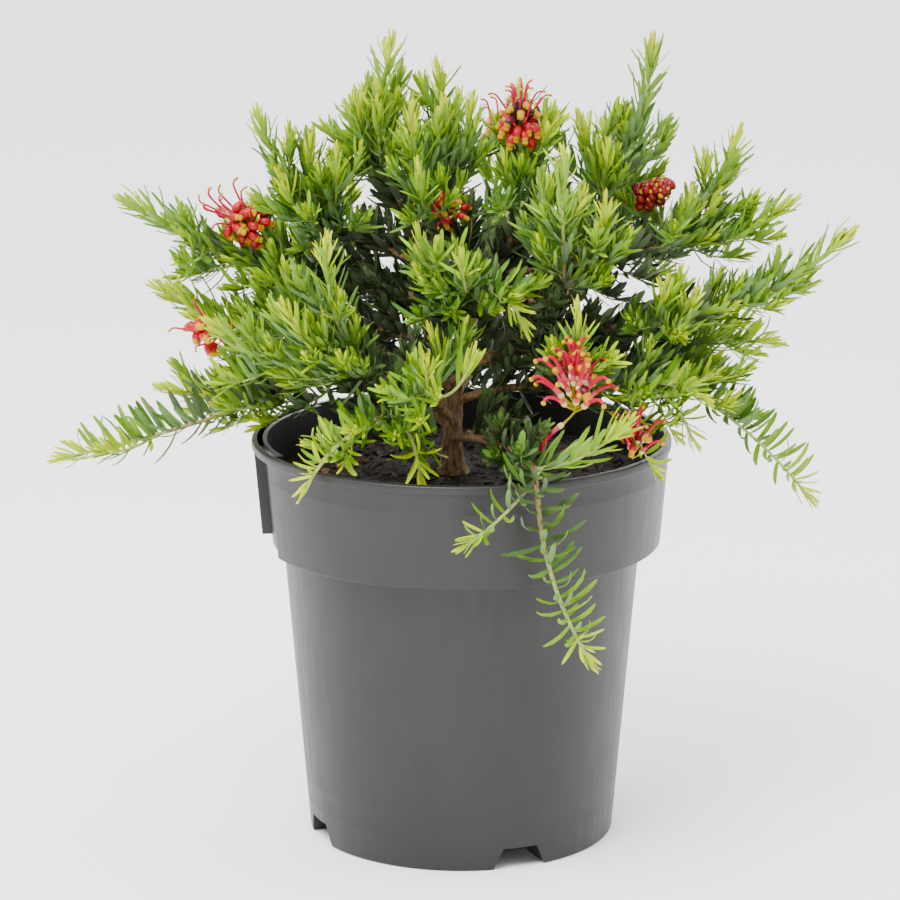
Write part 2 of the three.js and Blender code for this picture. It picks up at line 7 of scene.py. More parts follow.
import functools
import json
import math
from collections import namedtuple
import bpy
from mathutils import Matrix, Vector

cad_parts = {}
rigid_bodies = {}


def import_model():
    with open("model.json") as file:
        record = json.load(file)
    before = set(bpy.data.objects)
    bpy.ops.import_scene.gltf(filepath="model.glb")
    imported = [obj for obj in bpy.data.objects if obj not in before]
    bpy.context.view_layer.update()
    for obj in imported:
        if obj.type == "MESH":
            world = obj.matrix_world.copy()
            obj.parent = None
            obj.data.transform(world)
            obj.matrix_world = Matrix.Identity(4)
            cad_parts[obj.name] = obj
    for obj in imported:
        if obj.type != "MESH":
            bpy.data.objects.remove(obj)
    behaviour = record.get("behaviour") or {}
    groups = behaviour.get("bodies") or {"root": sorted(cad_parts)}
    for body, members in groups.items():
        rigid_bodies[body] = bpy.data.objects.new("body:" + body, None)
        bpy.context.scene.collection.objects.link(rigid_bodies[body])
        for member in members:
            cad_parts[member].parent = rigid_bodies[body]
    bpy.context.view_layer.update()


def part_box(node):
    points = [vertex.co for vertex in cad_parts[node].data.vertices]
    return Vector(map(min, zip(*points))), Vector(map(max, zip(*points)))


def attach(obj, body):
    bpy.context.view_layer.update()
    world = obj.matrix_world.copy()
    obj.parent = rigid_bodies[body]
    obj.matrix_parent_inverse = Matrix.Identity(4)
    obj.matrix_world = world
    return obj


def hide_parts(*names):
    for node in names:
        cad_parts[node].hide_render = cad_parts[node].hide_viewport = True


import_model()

from types import SimpleNamespace as Values

import bpy
import numpy as np
from bpy.props import FloatProperty, FloatVectorProperty, IntProperty, PointerProperty
from mathutils import Matrix, Vector, noise

bl_info = {
    "name": "Potted Fireworks Grevillea",
    "version": (1, 0, 0),
    "blender": (4, 5, 0),
    "location": "3D View > Sidebar > Grevillea",
    "description": "Grows a young fireworks grevillea in a round nursery pot",
    "category": "Add Mesh",
}

MM = 0.001
BODY = "root"

# The pot, in millimetres, as the model's solids have it. Its height and lip come from the frame.
POT_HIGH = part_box("pot")[1]
POT = Values(
    height=POT_HIGH.z / MM,
    foot_radius=73.2,
    shoulder_radius=85.3,
    shoulder_height=143.0,
    band_low_radius=95.0,
    band_top_radius=98.9,
    lip_radius=POT_HIGH.x / MM,
    lip_height=4.0,
    wall=2.0,
    floor=3.0,
)
NOTCH = Values(
    first_bearing=-68.0,
    count=4,
    foot_width=27.0,
    top_width=17.0,
    height=10.0,
    depth=24.0,
    wall=2.0,
)
# The label holder: a stretch of the band set back behind a plate that hangs from the lip. Its walls lean
# out by the draft for each millimetre of height.
HOLDER = Values(
    bearing=172.0,
    half_angle=33.0,
    recess_radius=90.4,
    plate_half_angle=14.0,
    plate_inner=93.2,
    plate_outer=95.1,
    plate_foot=147.0,
    rib_half_angle=0.7,
    rib_overlap=0.5,
    draft=0.085,
)
# The heights of the two fine beads round the pot's foot and of the one under its lip.
FOOT_BEADS = (15.5, 27.0)
BAND_BEAD = 179.5
# Cutting and joining blocks run this far past what they cut or join.
PAST = 1.0
SOIL_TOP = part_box("soil")[1].z / MM
GAP = 0.3

# The trunk and the boughs, each with the mass of foliage that it carries, as the model's solids have them.
TRUNK = Values(
    foot=(-4, 0, SOIL_TOP + GAP),
    top=(-1, 1, 234),
    bow=1.5,
    foot_radius=5.3,
    top_radius=3.7,
    flare_radius=3.2,
    flare_share=0.2,
)
# A bough leaves its parent at a share of the parent's length, and its shoots each have a tip, a bow and a
# bloom.
Bough = namedtuple("Bough", "name parent share tip bow radii mass shoots")
BOUGHS = [Bough(*row) for row in (
    ("left_stem", "trunk", 0.5, (-31, 8, 310), 5, (2.9, 1.6), "top_left", [
        ((-58, 18, 356), -5, None), ((-53, 0, 360), -4, None),
        ((-40, -12, 364), -3, None), ((-33, 2, 388), 2, None)]),
    ("right_stem", "trunk", 0.93, (36, 4, 304), 4, (3.0, 1.6), "top_right", [
        ((27, 0, 338), -2, "open"), ((26, 30, 359), -4, None),
        ((15, -35, 326), -6, None), ((45, -8, 354), 3, None)]),
    ("low_left_bough", "trunk", 0.36, (-72, 6, 217), 8, (2.7, 1.6), "low_left_arm", [
        ((-197, -5, 180), -2, None), ((-149, 22, 208), -4, None), ((-116, 40, 200), 4, None)]),
    ("front_left_bough", "trunk", 0.66, (-36, -44, 230), 5, (2.4, 1.5), "front_left", [
        ((-67, -72, 303), -9, None), ((-86, -86, 272), -6, None), ((-122, -70, 261), -7, None)]),
    ("hanging_left_bough", "trunk", 0.42, (-30, -52, 217), 7, (2.2, 1.4), "hanging_left", [
        ((-79, -84, 186), 5, None), ((-14, -86, 190), 5, None)]),
    ("mid_left_bough", "left_stem", 0.26, (-64, -2, 246), 4, (2.1, 1.4), "mid_left", [
        ((-150, -10, 265), -6, None), ((-84, -50, 282), -7, None), ((-114, -26, 246), 5, "spent")]),
    ("left_high_bough", "left_stem", 0.46, (-62, 8, 268), 3, (2.0, 1.3), "left_high", [
        ((-166, 10, 305), -4, None), ((-99, -28, 271), -4, None), ((-95, 2, 293), -3, "open")]),
    ("upper_left_bough", "left_stem", 0.62, (-51, 3, 288), 2, (1.9, 1.3), "upper_left", [
        ((-102, 0, 350), -6, None), ((-90, -30, 321), -5, None),
        ((-76, -8, 341), -4, None), ((-57, -22, 334), -4, None)]),
    ("top_centre_bough", "right_stem", 0.5, (-6, -8, 296), -2, (2.0, 1.3), "top_centre", [
        ((-28, -28, 357), -5, None), ((-8, -8, 359), 2, None),
        ((8, 18, 355), -4, None), ((-23, -50, 324), -6, None)]),
    ("centre_front_bough", "right_stem", 0.28, (4, -36, 274), -3, (2.0, 1.3), "centre_front", [
        ((-1, -90, 292), -6, None), ((-27, -68, 300), -6, None),
        ((-25, -74, 281), -4, None), ((36, -68, 266), 5, None)]),
    ("right_high_bough", "right_stem", 0.76, (60, 4, 298), -3, (1.9, 1.3), "right_high", [
        ((94, 8, 385), -6, None), ((56, -2, 352), 2, None), ((69, -22, 336), -3, None)]),
    ("front_right_high_bough", "right_stem", 0.4, (48, -38, 270), -4, (2.0, 1.3), "front_right_high", [
        ((45, -72, 343), -8, None), ((71, -62, 319), -5, None),
        ((35, -46, 328), -3, None), ((68, -50, 292), -3, None)]),
    ("right_bough", "trunk", 0.84, (84, -16, 250), 4, (2.7, 1.5), "right_far", [
        ((188, -15, 293), -8, None), ((96, -56, 276), -4, None), ((112, -48, 268), -3, None)]),
    ("front_right_bough", "right_bough", 0.34, (48, -62, 240), 3, (2.0, 1.3), "front_right", [
        ((51, -86, 240), 3, "open"), ((56, -88, 270), -5, None)]),
    ("right_up_bough", "right_stem", 0.56, (86, 6, 280), -4, (2.0, 1.3), "right_up", [
        ((137, 12, 339), -6, None), ((113, -18, 311), -4, None),
        ((162, 0, 304), -5, None), ((87, 4, 308), 2, "bud")]),
    ("right_low_bough", "right_bough", 0.5, (80, -8, 228), 3, (2.0, 1.3), "right_low", [
        ((156, 16, 238), 5, None), ((170, -30, 168), 6, None)]),
    ("right_front_low_bough", "trunk", 0.58, (70, -38, 224), 5, (2.2, 1.3), "right_front_low", [
        ((117, -62, 229), 4, None), ((117, -42, 203), 6, None), ((80, -62, 207), 4, "spent")]),
    ("front_low_bough", "trunk", 0.74, (-16, -60, 227), 4, (2.2, 1.4), "front_low", [
        ((-16, -112, 252), -5, None), ((10, -100, 252), -5, None), ((-6, -66, 262), -3, None)]),
    ("pot_front_bough", "trunk", 0.28, (33, -98, 201), 5, (2.4, 1.5), "pot_front", [
        ((82, -92, 221), -3, None), ((-2, -117, 164), -2, None)]),
    ("trailing_bough", "pot_front_bough", 0.98, (34, -107, 190), 1, (1.4, 1.2), "trailing", [
        ((58, -114, 108), -4, None)]),
    ("back_left_bough", "left_stem", 0.36, (-50, 50, 254), 3, (2.1, 1.3), "back_left", [
        ((-124, 84, 262), -5, None), ((-92, 118, 284), -5, None), ((-66, 84, 318), -6, None)]),
    ("back_low_left_bough", "trunk", 0.5, (-46, 50, 218), 6, (2.3, 1.4), "back_low_left", [
        ((-118, 88, 200), 6, None), ((-66, 140, 212), -4, None)]),
    ("back_top_bough", "left_stem", 0.72, (-14, 38, 304), -2, (1.8, 1.3), "back_top", [
        ((-42, 72, 352), -5, None), ((2, 84, 344), -6, None), ((-8, 48, 368), -3, None)]),
    ("back_bough", "right_stem", 0.18, (12, 62, 258), 3, (2.2, 1.4), "back", [
        ((-24, 132, 288), -6, None), ((30, 148, 276), -5, None), ((20, 108, 322), -6, "open")]),
    ("back_low_bough", "trunk", 0.62, (26, 66, 222), 6, (2.3, 1.4), "back_low", [
        ((-10, 150, 214), 5, None), ((52, 148, 206), 8, None), ((112, 104, 214), -4, None)]),
    ("back_right_bough", "right_stem", 0.5, (62, 50, 272), 2, (2.1, 1.3), "back_right", [
        ((132, 84, 280), -5, None), ((92, 112, 316), -6, None), ((84, 58, 340), -5, None)]),
)]
MASS_NODES = [bough.mass + "_foliage" for bough in BOUGHS]
LIMB_NODES = ["trunk"] + [bough.name for bough in BOUGHS]

# The source's rule for twigs and leaves, with its seeds, so that the same twigs grow here.
GROWTH = Values(
    first_seed=4100,
    seed_step=37,
    leader_radii=(1.25, 0.75),
    stem_radii=(0.7, 0.7),
    twig_radii=(0.5, 0.6),
    first_fork=3,
    fork_spacing=4,
    twig_spacing=76,
    twig_zone=(0.2, 0.7),
    twig_angle=(34, 52),
    twig_length=(20, 38),
    twig_bow=-0.08,
    tuft=15,
    leaf_zone=(0.24, 0.92),
    leaf_spacing=22,
    golden_angle=137.5,
)
MARGIN = Values(own_space=0.9, limb=1.2, pot=1.5)

# How far the same rule is carried on here: finer side sprigs, and leaves at their real size and spacing.
# Shares are of a limb's length, lengths are in millimetres and angles in degrees. The angles, lengths, widths
# and ages of a tuft's leaves run from its lowest leaf to its last. A shoot that isn't upright gathers its
# leaves to its upper side, where they lean less, lift more and curl up.
FINE = Values(
    sprig_zone=(0.04, 0.7),
    bough_sprig_zone=(0.1, 1.0),
    sprig_angle=(26, 48),
    sprig_length=8,
    sprig_radii=(0.5, 0.35),
    stem_leaf_zone=0.02,
    leaf_zone=0.1,
    foot_reach=0.7,
    bough_leaf_zone=(0.3, 1.0),
    past_bough=40,
    jitter=0.6,
    outer_spacing=1.1,
    outer_part=(0.9, 1.15),
    tuft_spacing=0.9,
    tuft_angle=(42, 9),
    tuft_jitter=5,
    tuft_lengths=(14, 8),
    tuft_widths=(0.72, 0.56),
    tuft_ages=(8, -4),
    tuft_lift=0.7,
    tuft_curl=-6,
    gathered=0.1,
    upper_lean=(-8, 6),
    lean_jitter=15,
    turn_jitter=26,
    outward=0.5,
    lift=0.12,
    level_lift=0.07,
    sunk_lift=0.14,
    sunk_lean=26,
    sunk_curl=54,
)
# How a leaf's lean and length follow its distance from the shoot's tip, and its width and curl its age.
LEAF_CHANGES = Values(
    lean=((10, 80), (37, 50)),
    length=((10, 30, 90), (0.78, 1, 1.06)),
    width=((8, 26, 60, 110), (0.72, 0.9, 1.15, 1.5)),
    curl=((5, 60), (20, 6)),
)
LEAF_SPREADS = Values(length=(0.7, 1.15), width=(0.86, 1.14))
# For stems, twigs, sprigs and the sprigs of boughs: how old their leaves are, their size, how far the
# shoot reaches past its end, how far its stem still grows there, and how far its leaves may stand in
# another mass's space.
ORDERS = Values(
    aged=(0, 6, 12, 60),
    size=(1.0, 0.95, 0.88, 0.84),
    reach=(15, 9, 9, 9),
    grown_on=(8, 4, 4, 4),
    slack=(18, 18, 18, 400),
)
UPRIGHT = np.array([0.0, 0.0, 1.0])
CROWN = Values(centre=(0, 0, 262), radii=(175, 125, 118))
# The lower trunk shows from the front: its width and heights, and how fast the sight of it falls.
SHOWN_TRUNK = Values(sides=(-10, 7), heights=(167, 222), fall=0.245)


# Numbers and directions.
def lerp(a, b, t):
    return a + (b - a) * t


def tapered(radii, t):
    """The radius at a share of a limb, which keeps its last one beyond its end."""
    return lerp(*radii, min(t, 1))


def unit(v):
    return v / np.linalg.norm(v)


def round_angles(count):
    """The angles of a ring's corners."""
    return np.linspace(0, 2 * math.pi, count, endpoint=False)


def seeded(seed):
    """A source of numbers from 0 to 1 that gives the same ones each time."""
    state = seed

    def draw():
        nonlocal state
        state = state * 48271 % 2147483647
        return state / 2147483647

    return draw


def spread(random, low, high):
    return lerp(low, high, random())


def linear(code):
    """A colour given as #rrggbb in linear light, with alpha."""
    parts = [int(code[i:i + 2], 16) / 255 for i in (1, 3, 5)]
    return tuple(c / 12.92 if c <= 0.04045 else ((c + 0.055) / 1.055) ** 2.4 for c in parts) + (1.0,)


class Course:
    """A limb's course: a straight run that is bowed in its own upright plane."""

    def __init__(self, start, end, bow):
        self.start = np.array(start, float)
        self.chord = np.array(end, float) - self.start
        self.length = float(np.linalg.norm(self.chord))
        bearing = math.atan2(self.chord[1], self.chord[0])
        self.side = np.array([math.sin(bearing), -math.cos(bearing), 0.0])
        self.bowed = unit(np.cross(self.side, self.chord)) * 4 * bow

    def point(self, t):
        return self.start + self.chord * t + self.bowed * t * (1 - t)

    def tangent(self, t):
        return unit(self.chord + self.bowed * (1 - 2 * t))

    def leaning(self, t, lean, turn):
        """The direction that leans from the course at t by lean degrees, turned by turn degrees round it."""
        along = self.tangent(t)
        turn = math.radians(turn)
        across = self.side * math.cos(turn) + np.cross(self.side, along) * math.sin(turn)
        return along * math.cos(math.radians(lean)) + across * math.sin(math.radians(lean))

    def sampled(self, count):
        return np.array([self.point(i / count) for i in range(count + 1)])


# Whose space a point is in.
class Lines:
    """Many polylines, with the distance from points to each of them."""

    def __init__(self, lines, owners, radii):
        self.starts = np.concatenate([line[:-1] for line in lines])
        self.runs = np.concatenate([line[1:] - line[:-1] for line in lines])
        self.owner = np.concatenate([[owner] * (len(line) - 1) for line, owner in zip(lines, owners)])
        self.radius = np.concatenate([[radius] * (len(line) - 1) for line, radius in zip(lines, radii)])

    def distances(self, points):
        """The distance from each point to each segment."""
        offset = points[:, None, :] - self.starts[None]
        square = (self.runs ** 2).sum(1)
        share = np.clip((offset * self.runs[None]).sum(2) / square[None], 0, 1)
        return np.linalg.norm(offset - share[..., None] * self.runs[None], axis=2)


class Skeleton:
    """The trunk, boughs, stems and twigs of the model's solids, grown again by its rule."""

    # How many points' distances are worked out together.
    AT_ONCE = 2000

    def __init__(self):
        self.courses = {"trunk": Course(TRUNK.foot, TRUNK.top, TRUNK.bow)}
        self.stems = []
        for bough in BOUGHS:
            course = Course(self.courses[bough.parent].point(bough.share), bough.tip, bough.bow)
            self.courses[bough.name] = course
            self.stems.append(self.stems_of(course, bough.shoots))
        self.stem_lines = Lines(
            [course.sampled(6) for stems in self.stems for course, _, _ in stems],
            [mass for mass, stems in enumerate(self.stems) for _ in stems],
            [0] * sum(len(stems) for stems in self.stems),
        )
        self.limb_lines = Lines(
            [self.courses["trunk"].sampled(4)] + [self.courses[bough.name].sampled(6) for bough in BOUGHS],
            [0] * (len(BOUGHS) + 1),
            [TRUNK.foot_radius] + [bough.radii[0] for bough in BOUGHS],
        )

    @staticmethod
    def stems_of(bough, shoots):
        """Each stem's course, radii and bloom: the leader, then those that fork from its foot."""
        foot = bough.point(1) + bough.tangent(1) * GAP
        stems = []
        for i, (tip, bow, bloom) in enumerate(shoots):
            start = foot
            if i:
                leader = stems[0][0]
                fork = GROWTH.first_fork + GROWTH.fork_spacing * (i - 1)
                start = leader.point(fork / leader.length)
            tip = np.array(tip, float)
            end = tip - unit(tip - start) * (0 if bloom else GROWTH.tuft)
            radii = GROWTH.stem_radii if i else GROWTH.leader_radii
            stems.append((Course(start, end, bow), radii, bloom))
        return stems

    def clear(self, masses, points, slack=0.0):
        """For each point, whether it is over the soil, off the pot and limbs and in its mass's own space."""
        slack = np.broadcast_to(slack, len(points))
        reach = np.hypot(points[:, 0], points[:, 1])
        low = points[:, 2] < SOIL_TOP + MARGIN.pot
        fine = ~(low & (reach < POT.lip_radius + MARGIN.pot))
        beside = points[:, 2] < POT.height + MARGIN.pot
        fine &= ~(beside & (abs(reach - POT.lip_radius) < POT.lip_height + MARGIN.pot))
        for first in range(0, len(points), self.AT_ONCE):
            part = slice(first, first + self.AT_ONCE)
            limbs = self.limb_lines.distances(points[part]) - self.limb_lines.radius[None]
            fine[part] &= limbs.min(1) >= MARGIN.limb
            stems = self.stem_lines.distances(points[part])
            mine = self.stem_lines.owner[None] == masses[part][:, None]
            own = np.where(mine, stems, np.inf).min(1)
            others = np.where(mine, np.inf, stems).min(1)
            fine[part] &= others > own + 2 * MARGIN.own_space - slack[part]
        return fine

    def all_clear(self, mass, points):
        points = np.array(points)
        return bool(self.clear(np.full(len(points), mass), points).all())

    def twigs_on(self, mass, course, random):
        """Side twigs that branch from a stem, curving upwards."""
        twigs = []
        count = math.floor(course.length / GROWTH.twig_spacing)
        turn = 360 * random()
        for i in range(count):
            t = lerp(*GROWTH.twig_zone, (i + random()) / count)
            turn += GROWTH.golden_angle
            lean = spread(random, *GROWTH.twig_angle)
            length = spread(random, *GROWTH.twig_length)
            start = course.point(t)
            end = start + course.leaning(t, lean, turn) * length
            twig = Course(start, end, GROWTH.twig_bow * length)
            if self.all_clear(mass, [twig.point(0.5), twig.point(0.8), end]):
                twigs.append(twig)
        return twigs

    def shoots(self):
        """All stems and twigs as (course, radii, mass, order, bloom), with the source's own draws."""
        found = []
        for mass, stems in enumerate(self.stems):
            random = seeded(GROWTH.first_seed + GROWTH.seed_step * mass)
            for course, radii, bloom in stems:
                twigs = self.twigs_on(mass, course, random)
                found.append((course, radii, mass, 0, bloom))
                found += [(twig, GROWTH.twig_radii, mass, 1, None) for twig in twigs]
                for shoot in [course] + twigs:
                    leafy = shoot.length * (1 - GROWTH.leaf_zone[0])
                    for _ in range(1 + max(1, math.floor(leafy / GROWTH.leaf_spacing + 0.5))):
                        random()
                if bloom:
                    random()
        return found


SKELETON = Skeleton()
SHOOTS = SKELETON.shoots()


def outwardness(places):
    """How far out in the crown each place is: 0 at its middle, about 1 on its outline."""
    return np.linalg.norm((places - np.array(CROWN.centre)) / np.array(CROWN.radii), axis=-1)


def beside_trunk(places):
    """Whether each place leaves the sight of the lower trunk open."""
    across, deep, height = places.T
    height = height + deep * SHOWN_TRUNK.fall
    (left, right), (low, high) = SHOWN_TRUNK.sides, SHOWN_TRUNK.heights
    return (deep > -3) | (across < left) | (across > right) | (height < low) | (height > high)


def sprigs_on(course, radius, mass, zone, spacing, longest, order, random):
    """Finer side shoots, by the rule that the twigs grow by, more of them inside the crown than outside."""
    sprigs = []
    span = course.length * (zone[1] - zone[0])
    count = math.floor(span / spacing)
    turn = 360 * random()
    for i in range(count):
        t = lerp(*zone, (i + random()) / count)
        turn += GROWTH.golden_angle
        lean = spread(random, *FINE.sprig_angle)
        length = lerp(longest, FINE.sprig_length, 0.4 * t + 0.6 * random())
        chance = random()
        start = course.point(t)
        if order == 2 and chance > np.interp(outwardness(start), (0.55, 0.95), (1.0, 0.3)):
            continue
        along = unit(course.leaning(t, lean, turn) + UPRIGHT * FINE.lift)
        sprig = Course(start + along * radius * 0.5, start + along * length, GROWTH.twig_bow * length)
        sprigs.append((sprig, FINE.sprig_radii, mass, order, None))
    ends = np.array([sprig[0].point(1) for sprig in sprigs]).reshape(-1, 3)
    middles = np.array([sprig[0].point(0.6) for sprig in sprigs]).reshape(-1, 3)
    owners = np.full(len(sprigs), mass)
    slack = ORDERS.slack[order] - 4
    fine = SKELETON.clear(owners, ends, slack) & SKELETON.clear(owners, middles, slack)
    fine &= (outwardness(ends) < 0.95) & beside_trunk(ends) & beside_trunk(middles)
    return [sprig for sprig, kept in zip(sprigs, fine) if kept]


def all_shoots(settings):
    """The source's stems and twigs and, between them, the finer sprigs."""
    random = seeded(settings.seed)
    spacing = settings.sprig_spacing / MM
    longest = settings.sprig_length / MM
    shoots = list(SHOOTS)
    for course, radii, mass, order, bloom in SHOOTS:
        shoots += sprigs_on(course, radii[0], mass, FINE.sprig_zone, spacing, longest, 2, random)
    for mass, bough in enumerate(BOUGHS):
        course, radius = SKELETON.courses[bough.name], bough.radii[1]
        shoots += sprigs_on(course, radius, mass, FINE.bough_sprig_zone, spacing, longest, 3, random)
    return shoots


# Meshes.
def new_object(name, mesh):
    piece = bpy.data.objects.new(name, mesh)
    bpy.context.scene.collection.objects.link(piece)
    return piece


def new_mesh(name, vertices, faces):
    """A mesh from vertices in millimetres."""
    mesh = bpy.data.meshes.new(name)
    mesh.from_pydata((np.asarray(vertices, float) * MM).tolist(), [], [tuple(face) for face in faces])
    mesh.update()
    return mesh


def joined(parts):
    """Several (vertices, faces) as one, with the number of each face's part."""
    vertices, faces, numbers = [], [], []
    for number, (points, polygons) in parts:
        first = sum(len(chunk) for chunk in vertices)
        vertices.append(np.asarray(points, float))
        faces += [[first + corner for corner in face] for face in polygons]
        numbers += number if isinstance(number, list) else [number] * len(polygons)
    return np.concatenate(vertices), faces, numbers


def give(mesh, name, kind, domain, values):
    """Adds an attribute to a mesh."""
    attribute = mesh.attributes.new(name, kind, domain)
    field = "vector" if kind == "FLOAT_VECTOR" else "value"
    attribute.data.foreach_set(field, np.asarray(values).ravel())


def strip(rows, width, foot, head):
    """Faces between rows of vertices that go round, closed at each end on a point."""
    faces = []
    for row in range(rows - 1):
        low, high = row * width, (row + 1) * width
        for i in range(width):
            j = (i + 1) % width
            faces.append((low + i, low + j, high + j, high + i))
    last = (rows - 1) * width
    for i in range(width):
        j = (i + 1) % width
        faces += [(foot, j, i), (head, last + i, last + j)]
    return faces


def tube(line, radii, sides):
    """A closed tube along a line, with a radius for each of its points or for each corner of its rings."""
    line = np.asarray(line, float)
    runs = np.gradient(line, axis=0)
    runs /= np.linalg.norm(runs, axis=1)[:, None]
    radii = np.broadcast_to(np.asarray(radii, float).reshape(len(line), -1), (len(line), sides))
    normal = np.cross(runs[0], (0, 1, 0) if abs(runs[0][1]) < 0.9 else (1, 0, 0))
    angles = round_angles(sides)
    rings = []
    for place, run, radius in zip(line, runs, radii):
        normal = unit(normal - run * normal.dot(run))
        side = np.cross(run, normal)
        ring = np.outer(np.cos(angles) * radius, normal) + np.outer(np.sin(angles) * radius, side)
        rings.append(place + ring)
    count = len(line) * sides
    vertices = np.concatenate(rings + [line[:1], line[-1:]])
    return vertices, strip(len(line), sides, count, count + 1)


def smooth(points, count):
    """A line of count steps through points, rounded at their corners."""
    points = np.array(points, float)
    shares = np.linspace(0, 1, len(points))
    line = np.stack([np.interp(np.linspace(0, 1, count + 1), shares, points[:, i]) for i in range(3)], axis=1)
    for _ in range(3):
        line[1:-1] = (line[:-2] + 2 * line[1:-1] + line[2:]) / 4
    return line


def ball(centre, along, length, radius, sides=8, rings=5):
    """An egg shape about a centre, as a tube that closes at both ends."""
    steps = np.linspace(-1, 1, rings + 2)[1:-1]
    along = unit(np.asarray(along, float))
    line = np.asarray(centre, float) + np.outer(steps * length / 2, along)
    vertices, faces = tube(line, np.sqrt(1 - steps ** 2) * radius, sides)
    vertices[-2] = centre - along * length / 2
    vertices[-1] = centre + along * length / 2
    return vertices, faces


def turned(profile, facets):
    """A solid of revolution from its profile of radius and height, which starts and ends on the axis."""
    profile = np.asarray(profile, float)
    angles = round_angles(facets)
    inner = profile[1:-1]
    rings = np.stack([
        np.outer(inner[:, 0], np.cos(angles)),
        np.outer(inner[:, 0], np.sin(angles)),
        np.repeat(inner[:, 1:], facets, axis=1),
    ], axis=2).reshape(-1, 3)
    count = len(rings)
    poles = np.array([[0, 0, profile[0][1]], [0, 0, profile[-1][1]]])
    return np.concatenate([rings, poles]), strip(len(inner), facets, count, count + 1)


def filleted(points, steps=4):
    """A profile of (radius, height, fillet) with each filleted corner turned into an arc."""
    profile = []
    for i, (r, z, fillet) in enumerate(points):
        here = np.array([r, z], float)
        if not fillet:
            profile.append(here)
            continue
        before = here + unit(np.array(points[i - 1][:2], float) - here) * fillet
        after = here + unit(np.array(points[i + 1][:2], float) - here) * fillet
        for step in range(steps + 1):
            t = step / steps
            profile.append(before * (1 - t) ** 2 + here * 2 * t * (1 - t) + after * t * t)
    return profile


def ring_sector(inner, outer, low, high, bearing, half_angle, steps=48):
    """A closed sector of a ring about Z, leaning out from its radii at the pot's shoulder."""
    angles = np.radians(np.linspace(bearing - half_angle, bearing + half_angle, steps + 1))
    vertices = []
    for angle in angles:
        for radius, height in ((inner, low), (outer, low), (outer, high), (inner, high)):
            radius += HOLDER.draft * (height - POT.shoulder_height)
            vertices.append((radius * math.cos(angle), radius * math.sin(angle), height))
    faces = [(0, 1, 2, 3), tuple(4 * steps + i for i in (3, 2, 1, 0))]
    for step in range(steps):
        for i in range(4):
            j = (i + 1) % 4
            faces.append((4 * step + i, 4 * step + 4 + i, 4 * step + 4 + j, 4 * step + j))
    return vertices, faces


def notch_block(bearing, grown, inner, outer):
    """A drain notch's trapezoid through the foot of the wall."""
    half, top_half = NOTCH.foot_width / 2 + grown, NOTCH.top_width / 2 + grown
    height = NOTCH.height + grown
    outline = [(-half, -PAST), (half, -PAST), (top_half, height), (-top_half, height)]
    turn = Matrix.Rotation(math.radians(bearing), 4, "Z")
    vertices = [turn @ Vector((radius, y, z)) for radius in (inner, outer) for y, z in outline]
    faces = [(3, 2, 1, 0), (4, 5, 6, 7)]
    faces += [(i, (i + 1) % 4, 4 + (i + 1) % 4, 4 + i) for i in range(4)]
    return [tuple(v) for v in vertices], faces


def combined(base, other, operation):
    """The base object's mesh joined with, cut by or kept within another solid."""
    tool = new_object("tool", new_mesh("tool", *other))
    modifier = base.modifiers.new("join", "BOOLEAN")
    modifier.operation = operation
    modifier.solver = "MANIFOLD"
    modifier.object = tool
    plain(base)
    bpy.data.meshes.remove(tool.data)


def plain(piece):
    """Makes what the piece's modifiers give into its own mesh and removes them."""
    graph = bpy.context.evaluated_depsgraph_get()
    made = bpy.data.meshes.new_from_object(piece.evaluated_get(graph))
    old = piece.data
    piece.modifiers.clear()
    piece.data = made
    made.name = piece.name
    bpy.data.meshes.remove(old)
    if not made.polygons:
        raise RuntimeError(f"{piece.name} came out without faces")


def finish_piece(piece, nodes, sharp=None):
    """Shades a piece, hangs it on the frame's body and hides the model's nodes that it stands for."""
    piece.data.shade_smooth()
    if sharp is not None:
        piece.data.set_sharp_from_angle(angle=math.radians(sharp))
    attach(piece, BODY)
    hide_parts(*nodes)


# Node trees.
def feed(tree, socket, value):
    """Links a node's output to a socket, or sets the socket to a plain value."""
    if isinstance(value, bpy.types.NodeSocket):
        tree.links.new(value, socket)
    else:
        socket.default_value = value


